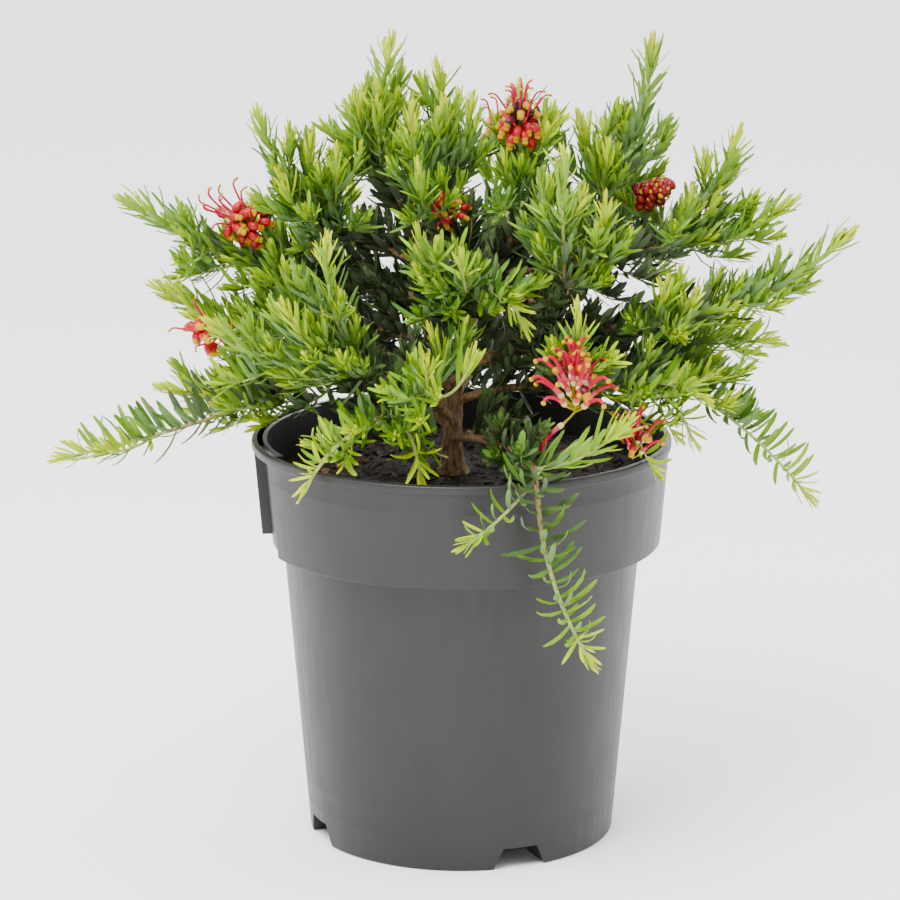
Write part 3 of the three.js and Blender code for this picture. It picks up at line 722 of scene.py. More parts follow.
class Tree:
    """A geometry node tree with named inputs, built one node at a time."""

    def __init__(self, name, inputs):
        self.tree = bpy.data.node_groups.new(name, "GeometryNodeTree")
        self.sockets = {}
        self.tree.interface.new_socket("Geometry", in_out="INPUT", socket_type="NodeSocketGeometry")
        for label, kind in inputs.items():
            socket = self.tree.interface.new_socket(label, in_out="INPUT", socket_type=kind)
            self.sockets[label] = socket.identifier
        self.tree.interface.new_socket("Geometry", in_out="OUTPUT", socket_type="NodeSocketGeometry")
        self.given = self.tree.nodes.new("NodeGroupInput").outputs
        self.result = self.tree.nodes.new("NodeGroupOutput").inputs[0]

    def add(self, kind, inputs=None, output=0, **settings):
        """Adds a node, sets or links its inputs and returns one of its outputs."""
        node = self.tree.nodes.new(kind)
        for name, value in settings.items():
            setattr(node, name, value)
        for key, value in (inputs or {}).items():
            feed(self.tree, node.inputs[key] if isinstance(key, int) else self.socket(node, key), value)
        return [s for s in node.outputs if s.enabled][output]

    @staticmethod
    def socket(node, name):
        return next(s for s in node.inputs if s.enabled and s.name == name)

    def named(self, name, kind):
        return self.add("GeometryNodeInputNamedAttribute", {"Name": name}, data_type=kind)

    def paint(self, geometry, number, materials):
        """Sets each material on the faces that have its number."""
        for value, material in enumerate(materials):
            same = self.add(
                "FunctionNodeCompare", {"A": number, "B": float(value), "Epsilon": 0.25},
                data_type="FLOAT", operation="EQUAL",
            )
            geometry = self.add(
                "GeometryNodeSetMaterial", {"Geometry": geometry, "Selection": same, "Material": material},
            )
        return geometry

    def give_out(self, geometry):
        self.tree.links.new(geometry, self.result)

    def grow(self, piece, values):
        """Runs the tree on a piece, with values for its named inputs, and keeps the plain mesh."""
        modifier = piece.modifiers.new("grow", "NODES")
        modifier.node_group = self.tree
        for label, value in values.items():
            modifier[self.sockets[label]] = value
        plain(piece)


def prototypes(name, meshes):
    """A collection of shapes for a tree to deal out, kept out of the scene."""
    collection = bpy.data.collections.new(name)
    for number, mesh in enumerate(meshes):
        collection.objects.link(bpy.data.objects.new(f"{name}_{number:02d}", mesh))
    return collection


# Materials.
class Surface:
    """A material of procedural nodes round one principled shader."""

    def __init__(self, name, colour, roughness, **values):
        """The values are the shader's other inputs, such as ior or specular_ior_level."""
        self.material = bpy.data.materials.new(name)
        self.material.use_nodes = True
        self.tree = self.material.node_tree
        self.shader = next(node for node in self.tree.nodes if node.type == "BSDF_PRINCIPLED")
        self.material.diffuse_color = linear(colour)
        self.set("Base Color", linear(colour))
        self.set("Roughness", roughness)
        for key, value in values.items():
            self.set(key.replace("_", " ").title().replace("Ior", "IOR"), value)

    def set(self, name, value):
        feed(self.tree, self.shader.inputs[name], value)

    def add(self, kind, inputs=None, output=0, **settings):
        node = self.tree.nodes.new(kind)
        for name, value in settings.items():
            setattr(node, name, value)
        for key, value in (inputs or {}).items():
            feed(self.tree, node.inputs[key], value)
        return node.outputs[output]

    def places(self, stretch=(1, 1, 1)):
        """The piece's own coordinates, in metres, stretched along each axis."""
        place = self.add("ShaderNodeTexCoord", output="Object")
        return self.add("ShaderNodeVectorMath", {0: place, 1: stretch}, operation="MULTIPLY")

    def noise(self, scale, detail=3.0, stretch=(1, 1, 1), roughness=0.55):
        return self.add("ShaderNodeTexNoise", {
            "Vector": self.places(stretch), "Scale": scale, "Detail": detail, "Roughness": roughness,
        })

    def mapped(self, value, low, high, start=0.35, stop=0.65):
        """A value from start to stop turned into one from low to high."""
        return self.add("ShaderNodeMapRange", {
            "Value": value, "From Min": start, "From Max": stop, "To Min": low, "To Max": high,
        })

    def ramp(self, value, stops):
        """A colour for a value, from stops of (share, colour)."""
        output = self.add("ShaderNodeValToRGB", {"Fac": value})
        elements = output.node.color_ramp.elements
        while len(elements) < len(stops):
            elements.new(0.5)
        for element, (share, colour) in zip(elements, stops):
            element.position = share
            element.color = linear(colour)
        return output

    def blend(self, share, base, other):
        """Two colours mixed by a share."""
        return self.add("ShaderNodeMix", {0: share, 6: base, 7: other}, output=2, data_type="RGBA")

    def bump(self, height, distance, strength):
        inputs = {"Height": height, "Distance": distance, "Strength": strength}
        self.set("Normal", self.add("ShaderNodeBump", inputs))


def plastic_material(colour):
    """Smooth moulded plastic with a faint cloud in its tone and upright scuffs in its sheen."""
    surface = Surface("pot_plastic", "#2a2a2a", 0.4, specular_ior_level=0.34)
    cloud = surface.noise(22, 4)
    scuff = surface.noise(260, 2, stretch=(1, 1, 0.12))
    dark, light = ([share * c for c in colour] + [1.0] for share in (0.93, 1.07))
    surface.set("Base Color", surface.blend(surface.mapped(cloud, 0.0, 1.0), dark, light))
    surface.set("Roughness", surface.mapped(scuff, 0.38, 0.46))
    surface.bump(surface.noise(1900, 2), 0.00006, 0.4)
    return surface.material


def mix_material():
    surface = Surface("potting_mix", "#2b211a", 0.9, ior=1.4)
    fine = surface.noise(900, 4)
    tones = [(0.3, "#0c0907"), (0.52, "#1e1611"), (0.68, "#33261b"), (0.8, "#5c442b")]
    surface.set("Base Color", surface.ramp(fine, tones))
    surface.set("Roughness", surface.mapped(fine, 0.95, 0.7))
    surface.bump(fine, 0.0012, 0.9)
    return surface.material


def chip_material(name, dark, light):
    surface = Surface(name, light, 0.8)
    grain = surface.noise(700, 4, stretch=(1, 1, 2.4))
    surface.set("Base Color", surface.ramp(grain, [(0.3, dark), (0.7, light)]))
    surface.set("Roughness", surface.mapped(grain, 0.9, 0.62))
    surface.bump(grain, 0.0005, 0.8)
    return surface.material


def bark_material():
    """Olive brown bark with long dark cracks and greyer patches."""
    surface = Surface("shrub_bark", "#7a5a48", 0.75)
    streak = surface.noise(520, 5, stretch=(1, 1, 0.22), roughness=0.62)
    patch = surface.noise(60, 3)
    base = surface.ramp(streak, [(0.28, "#3a2a16"), (0.44, "#6c502e"), (0.58, "#98764a"), (0.76, "#b4946a")])
    surface.set("Base Color", surface.blend(surface.mapped(patch, 0.0, 0.35), base, linear("#6a5e4a")))
    surface.set("Roughness", surface.mapped(streak, 0.88, 0.62))
    surface.bump(streak, 0.0006, 0.9)
    return surface.material


def plant_material(name, colour, roughness=0.45, grain=1500, relief=0.00012, **values):
    """A plain colour, with a pattern in its sheen and relief only."""
    surface = Surface(name, colour, roughness, **values)
    pattern = surface.noise(grain, 2)
    surface.set("Roughness", surface.mapped(pattern, roughness + 0.08, roughness - 0.08))
    surface.bump(pattern, relief, 0.5)
    return surface.material


# The pot and its filling.
def pot_outline(edge):
    """The profile of the pot's outside, as a filled form."""
    p = POT
    slope = (p.shoulder_radius - p.foot_radius) / p.shoulder_height
    lip_foot = p.height - p.lip_height
    band_slope = (p.band_top_radius - p.band_low_radius) / (lip_foot - p.shoulder_height)

    def bead(z, base, base_z, rise, height=0.08, half=0.4):
        radius = base + (z - base_z) * rise
        step = half * rise
        return [(radius - step, z - half, 0), (radius + height, z, 0), (radius + step, z + half, 0)]

    points = [(0, 0, 0), (p.foot_radius, 0, edge)]
    for z in FOOT_BEADS:
        points += bead(z, p.foot_radius, 0, slope)
    points += [
        (p.shoulder_radius, p.shoulder_height, 0),
        (p.band_low_radius, p.shoulder_height, edge),
    ]
    points += bead(BAND_BEAD, p.band_low_radius, p.shoulder_height, band_slope)
    points += [
        (p.band_top_radius, lip_foot, 0.4 * edge),
        (p.lip_radius, lip_foot, 0.9 * edge),
        (p.lip_radius, p.height, 1.5 * edge),
        (0, p.height, 0),
    ]
    return filleted(points)


def notch_bearings():
    return [NOTCH.first_bearing + 360 / NOTCH.count * i for i in range(NOTCH.count)]


def cavity(facets):
    """The room inside the pot, and the bulge into it behind the label holder."""
    p = POT
    wall = p.wall
    shoulder = p.shoulder_height + wall
    room = filleted([
        (0, p.floor, 0),
        (p.foot_radius - wall, p.floor, wall),
        (p.shoulder_radius - wall, shoulder, 0),
        (p.band_low_radius - wall, shoulder, 0),
        (p.band_top_radius - wall, p.height + PAST, 0),
        (0, p.height + PAST, 0),
    ])
    bulge_angle = HOLDER.half_angle + math.degrees(wall / HOLDER.recess_radius)
    bulge = ring_sector(
        HOLDER.recess_radius - wall, p.lip_radius + PAST, p.shoulder_height - wall,
        p.height + 2 * PAST, HOLDER.bearing, bulge_angle,
    )
    return turned(room, facets), bulge


def add_holder(pot):
    """Hangs the label holder's plate from the lip and joins it to the band by a rib at each end."""
    lip_foot = POT.height - POT.lip_height
    inner, foot, overlap = HOLDER.plate_inner, HOLDER.plate_foot, HOLDER.rib_overlap
    half, rib_half = HOLDER.plate_half_angle, HOLDER.rib_half_angle
    plate = ring_sector(inner, HOLDER.plate_outer, foot, lip_foot + PAST, HOLDER.bearing, half)
    combined(pot, plate, "UNION")
    for end in (-1, 1):
        rib = ring_sector(
            HOLDER.recess_radius - 0.5 * POT.wall, inner + overlap, foot, lip_foot + overlap,
            HOLDER.bearing + end * (half - rib_half), rib_half, steps=4,
        )
        combined(pot, rib, "UNION")


def add_notches(pot, form):
    """Cuts the drain notches, each in a small housing that keeps within the pot's filled form."""
    inner = POT.foot_radius - NOTCH.depth
    for notch in notch_bearings():
        block = notch_block(notch, NOTCH.wall, inner - NOTCH.wall, POT.foot_radius)
        housing = new_object("housing", new_mesh("housing", *block))
        filled = new_object("filled", form.copy())
        combined(housing, solid_of(filled), "INTERSECT")
        combined(pot, solid_of(housing), "UNION")
        combined(pot, notch_block(notch, 0, inner, POT.shoulder_radius), "DIFFERENCE")


def make_pot(settings):
    """The pot: turned, hollowed and set back behind the label holder, with its drain notches."""
    lip_foot = POT.height - POT.lip_height
    bearing, recess_radius, half = HOLDER.bearing, HOLDER.recess_radius, HOLDER.half_angle
    profile = pot_outline(settings.edge_radius / MM)
    pot = new_object("pot_shell", new_mesh("pot_shell", *turned(profile, settings.facets)))
    form = pot.data.copy()
    room, bulge = cavity(settings.facets)
    hollow = new_object("hollow", new_mesh("hollow", *room))
    combined(hollow, bulge, "DIFFERENCE")
    scoop = ring_sector(
        recess_radius, POT.lip_radius + PAST, POT.shoulder_height - PAST, lip_foot, bearing, half)
    slot = ring_sector(
        recess_radius, HOLDER.plate_inner, lip_foot - PAST, POT.height + PAST, bearing, half)
    for cut in (scoop, slot, solid_of(hollow)):
        combined(pot, cut, "DIFFERENCE")
    add_holder(pot)
    add_notches(pot, form)
    bpy.data.meshes.remove(form)
    pot.data.materials.clear()
    pot.data.materials.append(plastic_material(settings.colour))
    finish_piece(pot, ["pot"], sharp=30)


def solid_of(piece):
    """The vertices, in millimetres, and faces of an object, which is then removed."""
    vertices = [vertex.co / MM for vertex in piece.data.vertices]
    faces = [tuple(polygon.vertices) for polygon in piece.data.polygons]
    bpy.data.meshes.remove(piece.data)
    return vertices, faces


# The mix: its facets and the rings of its top, how wide the coarse and fine bumps there are, the fine
# ones' share, how deep they sit, the width over which they fade towards the pot and the least that stays,
# over how many degrees the holder's bulge comes in, and how far the chips keep off the pot's wall and off
# that bulge.
MIX = Values(
    facets=160,
    rings=44,
    bumps=(9, 3.5),
    fine_share=0.6,
    sunk=0.4,
    fade=4,
    least=0.15,
    bulge_edge=1.5,
    off_wall=6,
    off_holder=10,
)


def behind_holder(inset):
    """How far each facet of the mix gives way to the holder's bulge in the pot, from 0 to 1."""
    turn = (np.degrees(round_angles(MIX.facets)) - HOLDER.bearing + 180) % 360 - 180
    bulge_angle = HOLDER.half_angle + math.degrees(inset / HOLDER.recess_radius)
    return np.clip((bulge_angle + MIX.bulge_edge - abs(turn)) / MIX.bulge_edge, 0, 1)


def roughen(top, radius, relief):
    """Raises and sinks the vertices of the mix's top, less beside the pot."""
    reach = np.hypot(top[:, 0], top[:, 1])
    fade = np.clip((radius - reach) / MIX.fade, MIX.least, 1)
    coarse, fine = MIX.bumps
    for vertex, amount in zip(top, fade):
        place = Vector(vertex)
        rough = noise.noise(place / coarse) + MIX.fine_share * noise.noise(place / fine)
        vertex[2] += relief * (rough * amount - MIX.sunk)


def make_soil(settings):
    """The potting mix: an uneven top, and sides that keep off the pot by the common gap."""
    relief = settings.relief / MM
    facets, rings = MIX.facets, MIX.rings
    p = POT
    inset = p.wall + GAP
    angles, behind = round_angles(facets), behind_holder(inset)

    def ring(radius, height):
        wall = np.full(facets, float(radius))
        if height > p.shoulder_height - p.wall:
            recess = HOLDER.recess_radius + HOLDER.draft * (height - p.shoulder_height) - inset
            wall = np.minimum(wall, lerp(wall, recess, behind))
        heights = np.broadcast_to(height, facets)
        return np.stack([wall * np.cos(angles), wall * np.sin(angles), heights], axis=1)

    shoulder = p.shoulder_height + inset
    housed = NOTCH.height + 2 * p.wall
    band_radii = (p.band_low_radius - inset, p.band_top_radius - inset)
    top_radius = np.interp(SOIL_TOP, (shoulder, p.height + PAST), band_radii)
    floor = p.floor + GAP
    kept = p.foot_radius - NOTCH.depth - p.wall - 2 * GAP
    rows = [
        ring(kept, floor),
        ring(kept, housed),
        ring(p.foot_radius - inset, housed),
        ring(p.shoulder_radius - inset, p.shoulder_height - inset - 1),
        ring(p.shoulder_radius - inset, shoulder),
        ring(p.band_low_radius - inset, shoulder),
    ]
    first_top = len(rows) * facets
    rows += [ring(top_radius, SOIL_TOP) * (share, share, 1) for share in np.linspace(1, 1 / rings, rings)]
    vertices = np.concatenate(rows + [[[0, 0, floor], [0, 0, SOIL_TOP]]])
    roughen(vertices[first_top:-2], top_radius, relief)
    vertices[-1][2] -= MIX.sunk * relief
    count = len(vertices)
    faces = strip(len(rows), facets, count - 2, count - 1)
    mix = new_object("potting_mix", new_mesh("potting_mix", vertices, faces))
    reach = np.hypot(vertices[:, 0], vertices[:, 1])
    margin = np.where(np.tile(behind, len(rows)) > 0, MIX.off_holder, MIX.off_wall)
    inside = np.append(reach[:-2] < top_radius - margin, (False, True))
    covered = np.array([inside[list(face)].all() for face in faces])
    covered[:first_top] = False
    give(mix.data, "top", "BOOLEAN", "FACE", covered)
    mix.data.materials.append(mix_material())
    return mix


# Each kind of chip's length, width and thickness, and each tone's dark and light, the commonest first.
CHIP_SIZES = (
    (9, 5, 2.2), (7, 4.5, 2), (6, 3, 2.4), (5, 4, 1.8),
    (4, 2.4, 1.6), (11, 4, 2), (3, 2.4, 1.6), (3.4, 1.8, 1.4),
)
CHIP_TONES = {
    "dark": ("#0e0a08", "#221913"),
    "brown": ("#1b120d", "#3a281c"),
    "red": ("#281710", "#4f3122"),
    "grey": ("#211e1a", "#48423a"),
    "tan": ("#5a3f24", "#a67c4a"),
}
# How far a chip tilts, in radians, its sizes, how evenly the tones are dealt out, with 1 as quite evenly, and
# what keeps the highest tone's number under their count.
CHIPS = Values(tilt=0.55, sizes=(0.55, 1.15), evenness=0.55, under=0.01)


def chip(random, length, width, thick):
    """A torn piece of bark: an uneven block of a dozen faces."""
    vertices = []
    for level in (-1, 1):
        for i in range(6):
            angle = math.radians(60 * i + 30 * random())
            vertices.append((
                math.cos(angle) * length / 2 * spread(random, 0.75, 1),
                math.sin(angle) * width / 2 * spread(random, 0.75, 1),
                level * thick / 2 * spread(random, 0.5, 1),
            ))
    vertices += [(0, 0, -thick / 2), (0, 0, thick / 2)]
    return vertices, strip(2, 6, 12, 13)


def strewing_tree(tones):
    """A tree that strews chips over the faces marked as the mix's top, more of them in the first tones."""
    tree = Tree("strew_chips", {
        "Density": "NodeSocketFloat", "Chips": "NodeSocketCollection", "Seed": "NodeSocketInt",
    })
    points = tree.add("GeometryNodeDistributePointsOnFaces", {
        "Mesh": tree.given["Geometry"], "Selection": tree.named("top", "BOOLEAN"),
        "Density": tree.given["Density"], "Seed": tree.given["Seed"],
    })
    pool = tree.add("GeometryNodeCollectionInfo", {
        "Collection": tree.given["Chips"], "Separate Children": True, "Reset Children": True,
    })
    turn = tree.add("FunctionNodeRandomValue", {
        "Min": (-CHIPS.tilt, -CHIPS.tilt, 0.0), "Max": (CHIPS.tilt, CHIPS.tilt, 2 * math.pi), "Seed": 2,
    }, data_type="FLOAT_VECTOR")
    smallest, largest = CHIPS.sizes
    size = tree.add(
        "FunctionNodeRandomValue", {"Min": smallest, "Max": largest, "Seed": 3}, data_type="FLOAT")
    chips = tree.add("GeometryNodeInstanceOnPoints", {
        "Points": points, "Instance": pool, "Pick Instance": True, "Rotation": turn, "Scale": size,
    })
    tone = tree.add("FunctionNodeRandomValue", {"Min": 0.0, "Max": 1.0, "Seed": 4}, data_type="FLOAT")
    chips = tree.add("GeometryNodeStoreNamedAttribute", {
        "Geometry": chips, "Name": "tone", "Value": tone,
    }, data_type="FLOAT", domain="INSTANCE")
    whole = tree.add("GeometryNodeRealizeInstances", {"Geometry": chips})
    last = len(tones) - CHIPS.under
    dealt = {0: tree.named("tone", "FLOAT"), 1: CHIPS.evenness}
    number = tree.add("ShaderNodeMath", dealt, operation="POWER")
    number = tree.add("ShaderNodeMath", {0: number, 1: -last, 2: last}, operation="MULTIPLY_ADD")
    number = tree.add("ShaderNodeMath", {0: number}, operation="FLOOR")
    tree.give_out(tree.paint(whole, number, tones))
    return tree


def make_chips(mix, settings):
    """Bark chips of several shapes and tones on the top of the mix."""
    random = seeded(settings.seed)
    shapes = prototypes("chip", [new_mesh("chip", *chip(random, *size)) for size in CHIP_SIZES])
    tones = [chip_material(f"chip_{name}", *colours) for name, colours in CHIP_TONES.items()]
    chips = new_object("bark_chips", mix.data.copy())
    strewing_tree(tones).grow(
        chips, {"Density": settings.chips_per_square_metre, "Chips": shapes, "Seed": settings.seed})
    finish_piece(chips, ["soil"], sharp=35)
    finish_piece(mix, ["soil"])


# Bark: the sides of the trunk and of a bough and the spacing of their rows, how much a bough swells where it
# leaves its parent, and the sizes of the cracks and knots.
BARK = Values(
    trunk=(48, 0.6),
    bough=(16, 1.1),
    collar=0.35,
    crack=Values(width=1.3, length=9, drift=40, start=0.62, depth=2.2),
    knot=Values(width=4, length=5, start=30, height=0.7),
)


def bark_tube(course, radius_at, grain, relief, collar, head=1.0):
    """A limb whose bark is cracked along it and swollen where it leaves its parent."""
    (sides, step), cracks, knots = grain, BARK.crack, BARK.knot
    count = max(4, round(course.length * head / step))
    shares = np.linspace(0, head, count + 1)
    line = np.array([course.point(t) for t in shares])
    along = shares * course.length
    radii = np.array([radius_at(t) for t in shares]) + collar * np.exp(-(along / (3 * collar + 0.5)) ** 2)
    angles = round_angles(sides)
    rough = np.zeros((len(line), sides))
    for row, (base, s) in enumerate(zip(radii, along)):
        for i, angle in enumerate(angles):
            x, y = math.cos(angle) * base, math.sin(angle) * base
            wide, drift = cracks.width, s / cracks.drift
            crack = 1 - abs(noise.noise(Vector((x / wide + drift, y / wide, s / cracks.length)))) * 2
            wide = knots.width
            knot = noise.noise(Vector((x / wide, y / wide, s / knots.length + knots.start)))
            rough[row, i] = knots.height * knot - max(0, crack - cracks.start) * cracks.depth
    return tube(line, radii[:, None] * (1 + relief * rough), sides)


def trunk_radius(t):
    """The trunk's radius at a share of its length, with the flare at its foot."""
    flare = TRUNK.flare_radius * max(0, 1 - t / TRUNK.flare_share) ** 2
    return lerp(TRUNK.foot_radius, TRUNK.top_radius, t) + flare


def make_bark(settings):
    """The trunk and every bough, as one mesh with relief."""
    relief = settings.bark_relief
    limbs = [bark_tube(SKELETON.courses["trunk"], trunk_radius, BARK.trunk, 2 * relief, 0)]
    for bough in BOUGHS:
        course, collar = SKELETON.courses[bough.name], BARK.collar * bough.radii[0]
        radius_at = functools.partial(tapered, bough.radii)
        limbs.append(bark_tube(course, radius_at, BARK.bough, relief, collar, 1 + GAP / course.length))
    vertices, faces, _ = joined((0, limb) for limb in limbs)
    bark = new_object("bark", new_mesh("bark", vertices, faces))
    bark.data.materials.append(bark_material())
    finish_piece(bark, LIMB_NODES, sharp=60)


# Stems, twigs and sprigs: for each tone, how far from the shoot's tip it starts, its colour and roughness,
# and the grain and depth of its relief.
STEM_TONES = {
    "young": (0, "#98a45c", 0.55, 1500, 0.00012),
    "turning": (58, "#867a48", 0.6, 900, 0.0002),
    "woody": (104, "#5a412a", 0.7, 700, 0.0004),
}


def stem_lines(shoots):
    """Each shoot's line, broken where its tone changes with the distance from its tip."""
    places, radii, tones, edges = [], [], [], []
    starts = [tone[0] for tone in STEM_TONES.values()]

    def put(course, ends, share, tone):
        places.append(course.point(share))
        radii.append(lerp(*ends, share))
        tones.append(tone)

    for course, ends, _, order, bloom in shoots:
        reach = course.length + ORDERS.reach[order] + ORDERS.aged[order]
        last_share = 1 if bloom else 1 + ORDERS.grown_on[order] / course.length
        shares = np.linspace(0, last_share, max(3, round(course.length / 4)) + 1)
        last = None
        for low, high in zip(shares, shares[1:]):
            from_tip = reach - (low + high) / 2 * course.length
            tone = int(np.searchsorted(starts, from_tip, side="right")) - 1
            if tone != last:
                put(course, ends, low, tone)
                last = tone
            put(course, ends, high, tone)
            edges.append((len(places) - 2, len(places) - 1))
    return np.array(places), np.array(radii), np.array(tones), edges


def make_stems(shoots):
    """Stems, twigs and sprigs, swept along their lines by a node tree."""
    places, radii, tones, edges = stem_lines(shoots)
    mesh = bpy.data.meshes.new("stems")
    mesh.from_pydata((places * MM).tolist(), edges, [])
    give(mesh, "thick", "FLOAT", "POINT", radii * MM)
    give(mesh, "tone", "FLOAT", "POINT", tones)
    tree = Tree("sweep_stems", {"Sides": "NodeSocketInt"})
    lines = tree.add("GeometryNodeMeshToCurve", {"Mesh": tree.given["Geometry"]})
    profile = tree.add("GeometryNodeCurvePrimitiveCircle", {"Resolution": tree.given["Sides"], "Radius": 1.0})
    swept = tree.add("GeometryNodeCurveToMesh", {
        "Curve": lines, "Profile Curve": profile, "Scale": tree.named("thick", "FLOAT"), "Fill Caps": True,
    })
    whole = tree.add("GeometryNodeRealizeInstances", {"Geometry": swept})
    materials = [
        plant_material(f"stem_{name}", colour, roughness, grain, relief, specular_ior_level=0.25)
        for name, (_, colour, roughness, grain, relief) in STEM_TONES.items()
    ]
    tree.give_out(tree.paint(whole, tree.named("tone", "FLOAT"), materials))
    stems = new_object("stems", mesh)
    tree.grow(stems, {"Sides": 8})
    finish_piece(stems, MASS_NODES, sharp=60)


# Leaves: their parts, their outline as shares of length and width, how deep the keel is in millimetres, how
# far the sides fold up for each half width, and the bends that are made.
LEAF_PARTS = 3
TOP, UNDERSIDE, POINT = range(LEAF_PARTS)
LEAF_STATIONS = ((0.0, 0.5), (0.12, 0.84), (0.38, 1.0), (0.68, 0.95), (0.9, 0.64), (1.0, 0.0))
LEAF_KEEL = 0.32
LEAF_FOLD = 0.22
LEAF_CURLS = (-12, 6, 24, 42, 62, 84)
# Each class of leaves: its name, the age it starts at, and its colours for the top, in three tones that are
# dealt out at random by spray, the underside and the point. The tones are lighter and darker copies: partly
# the shoots' own variety and partly painted light, as if some shoots were more lit than others.
LEAF_CLASSES = [
    ("tip", -9, ("#bece00", "#aebe00", "#cede08"), "#aabc10", "#b09828"),
    ("new", 8, ("#9ab800", "#8aa800", "#aac806"), "#8eaa14", "#948c28"),
    ("young", 21, ("#709810", "#62880a", "#80aa1c"), "#70922c", "#747c28"),
    ("grown", 42, ("#567a28", "#4a6e22", "#628830"), "#5e7c42", "#54663a"),
    ("old", 72, ("#445c2c", "#3c5428", "#506a38"), "#526242", "#544e2e"),
    ("aged", 110, ("#3a482a", "#344226", "#465636"), "#48523a", "#4a4428"),
]
# The classes whose leaves all have a point of another colour.
POINTED = ("tip", "old", "aged")
# How far the age that a leaf's colour shows strays by leaf and by spray, and how much older and darker the
# leaves sunk in the crown are coloured, below which outwardness: partly their real age, partly painted shade.
LEAF_SHADE = Values(leaf=4, spray=5, sunk=75, below=0.72)
# How far the leaves' bends stray, in degrees.
CURL_JITTER = 15


def leaf_blade(length, width, curl):
    """A closed narrow blade along +X whose upper face looks to +Z, with the part of each of its faces."""
    count = len(LEAF_STATIONS) - 1
    vertices = []
    angle, x, z, before = 0.0, 0.0, 0.0, 0.0
    for share, breadth in LEAF_STATIONS:
        step = (share - before) * length
        half_bend = math.radians(curl) * (share - before) * 0.5
        angle += half_bend
        x, z = x + math.cos(angle) * step, z + math.sin(angle) * step
        angle += half_bend
        before = share
        up = np.array([-math.sin(angle), 0, math.cos(angle)])
        middle = np.array([x, 0, z])
        if breadth == 0:
            vertices.append(middle)
            continue
        half = breadth * width / 2
        fold = up * half * LEAF_FOLD
        side = np.array([0, half, 0])
        vertices += [middle, middle + side + fold, middle - up * LEAF_KEEL, middle - side + fold]
    faces, parts = [(0, 3, 2, 1)], [UNDERSIDE]
    for row in range(count - 1):
        low, high = 4 * row, 4 * row + 4
        for i in range(4):
            j = (i + 1) % 4
            faces.append((low + i, high + i, high + j, low + j))
            parts.append(TOP if i in (0, 3) else UNDERSIDE)
    last = 4 * (count - 1)
    for i in range(4):
        faces.append((last + i, 4 * count, last + (i + 1) % 4))
        parts.append(POINT)
    return vertices, faces, parts


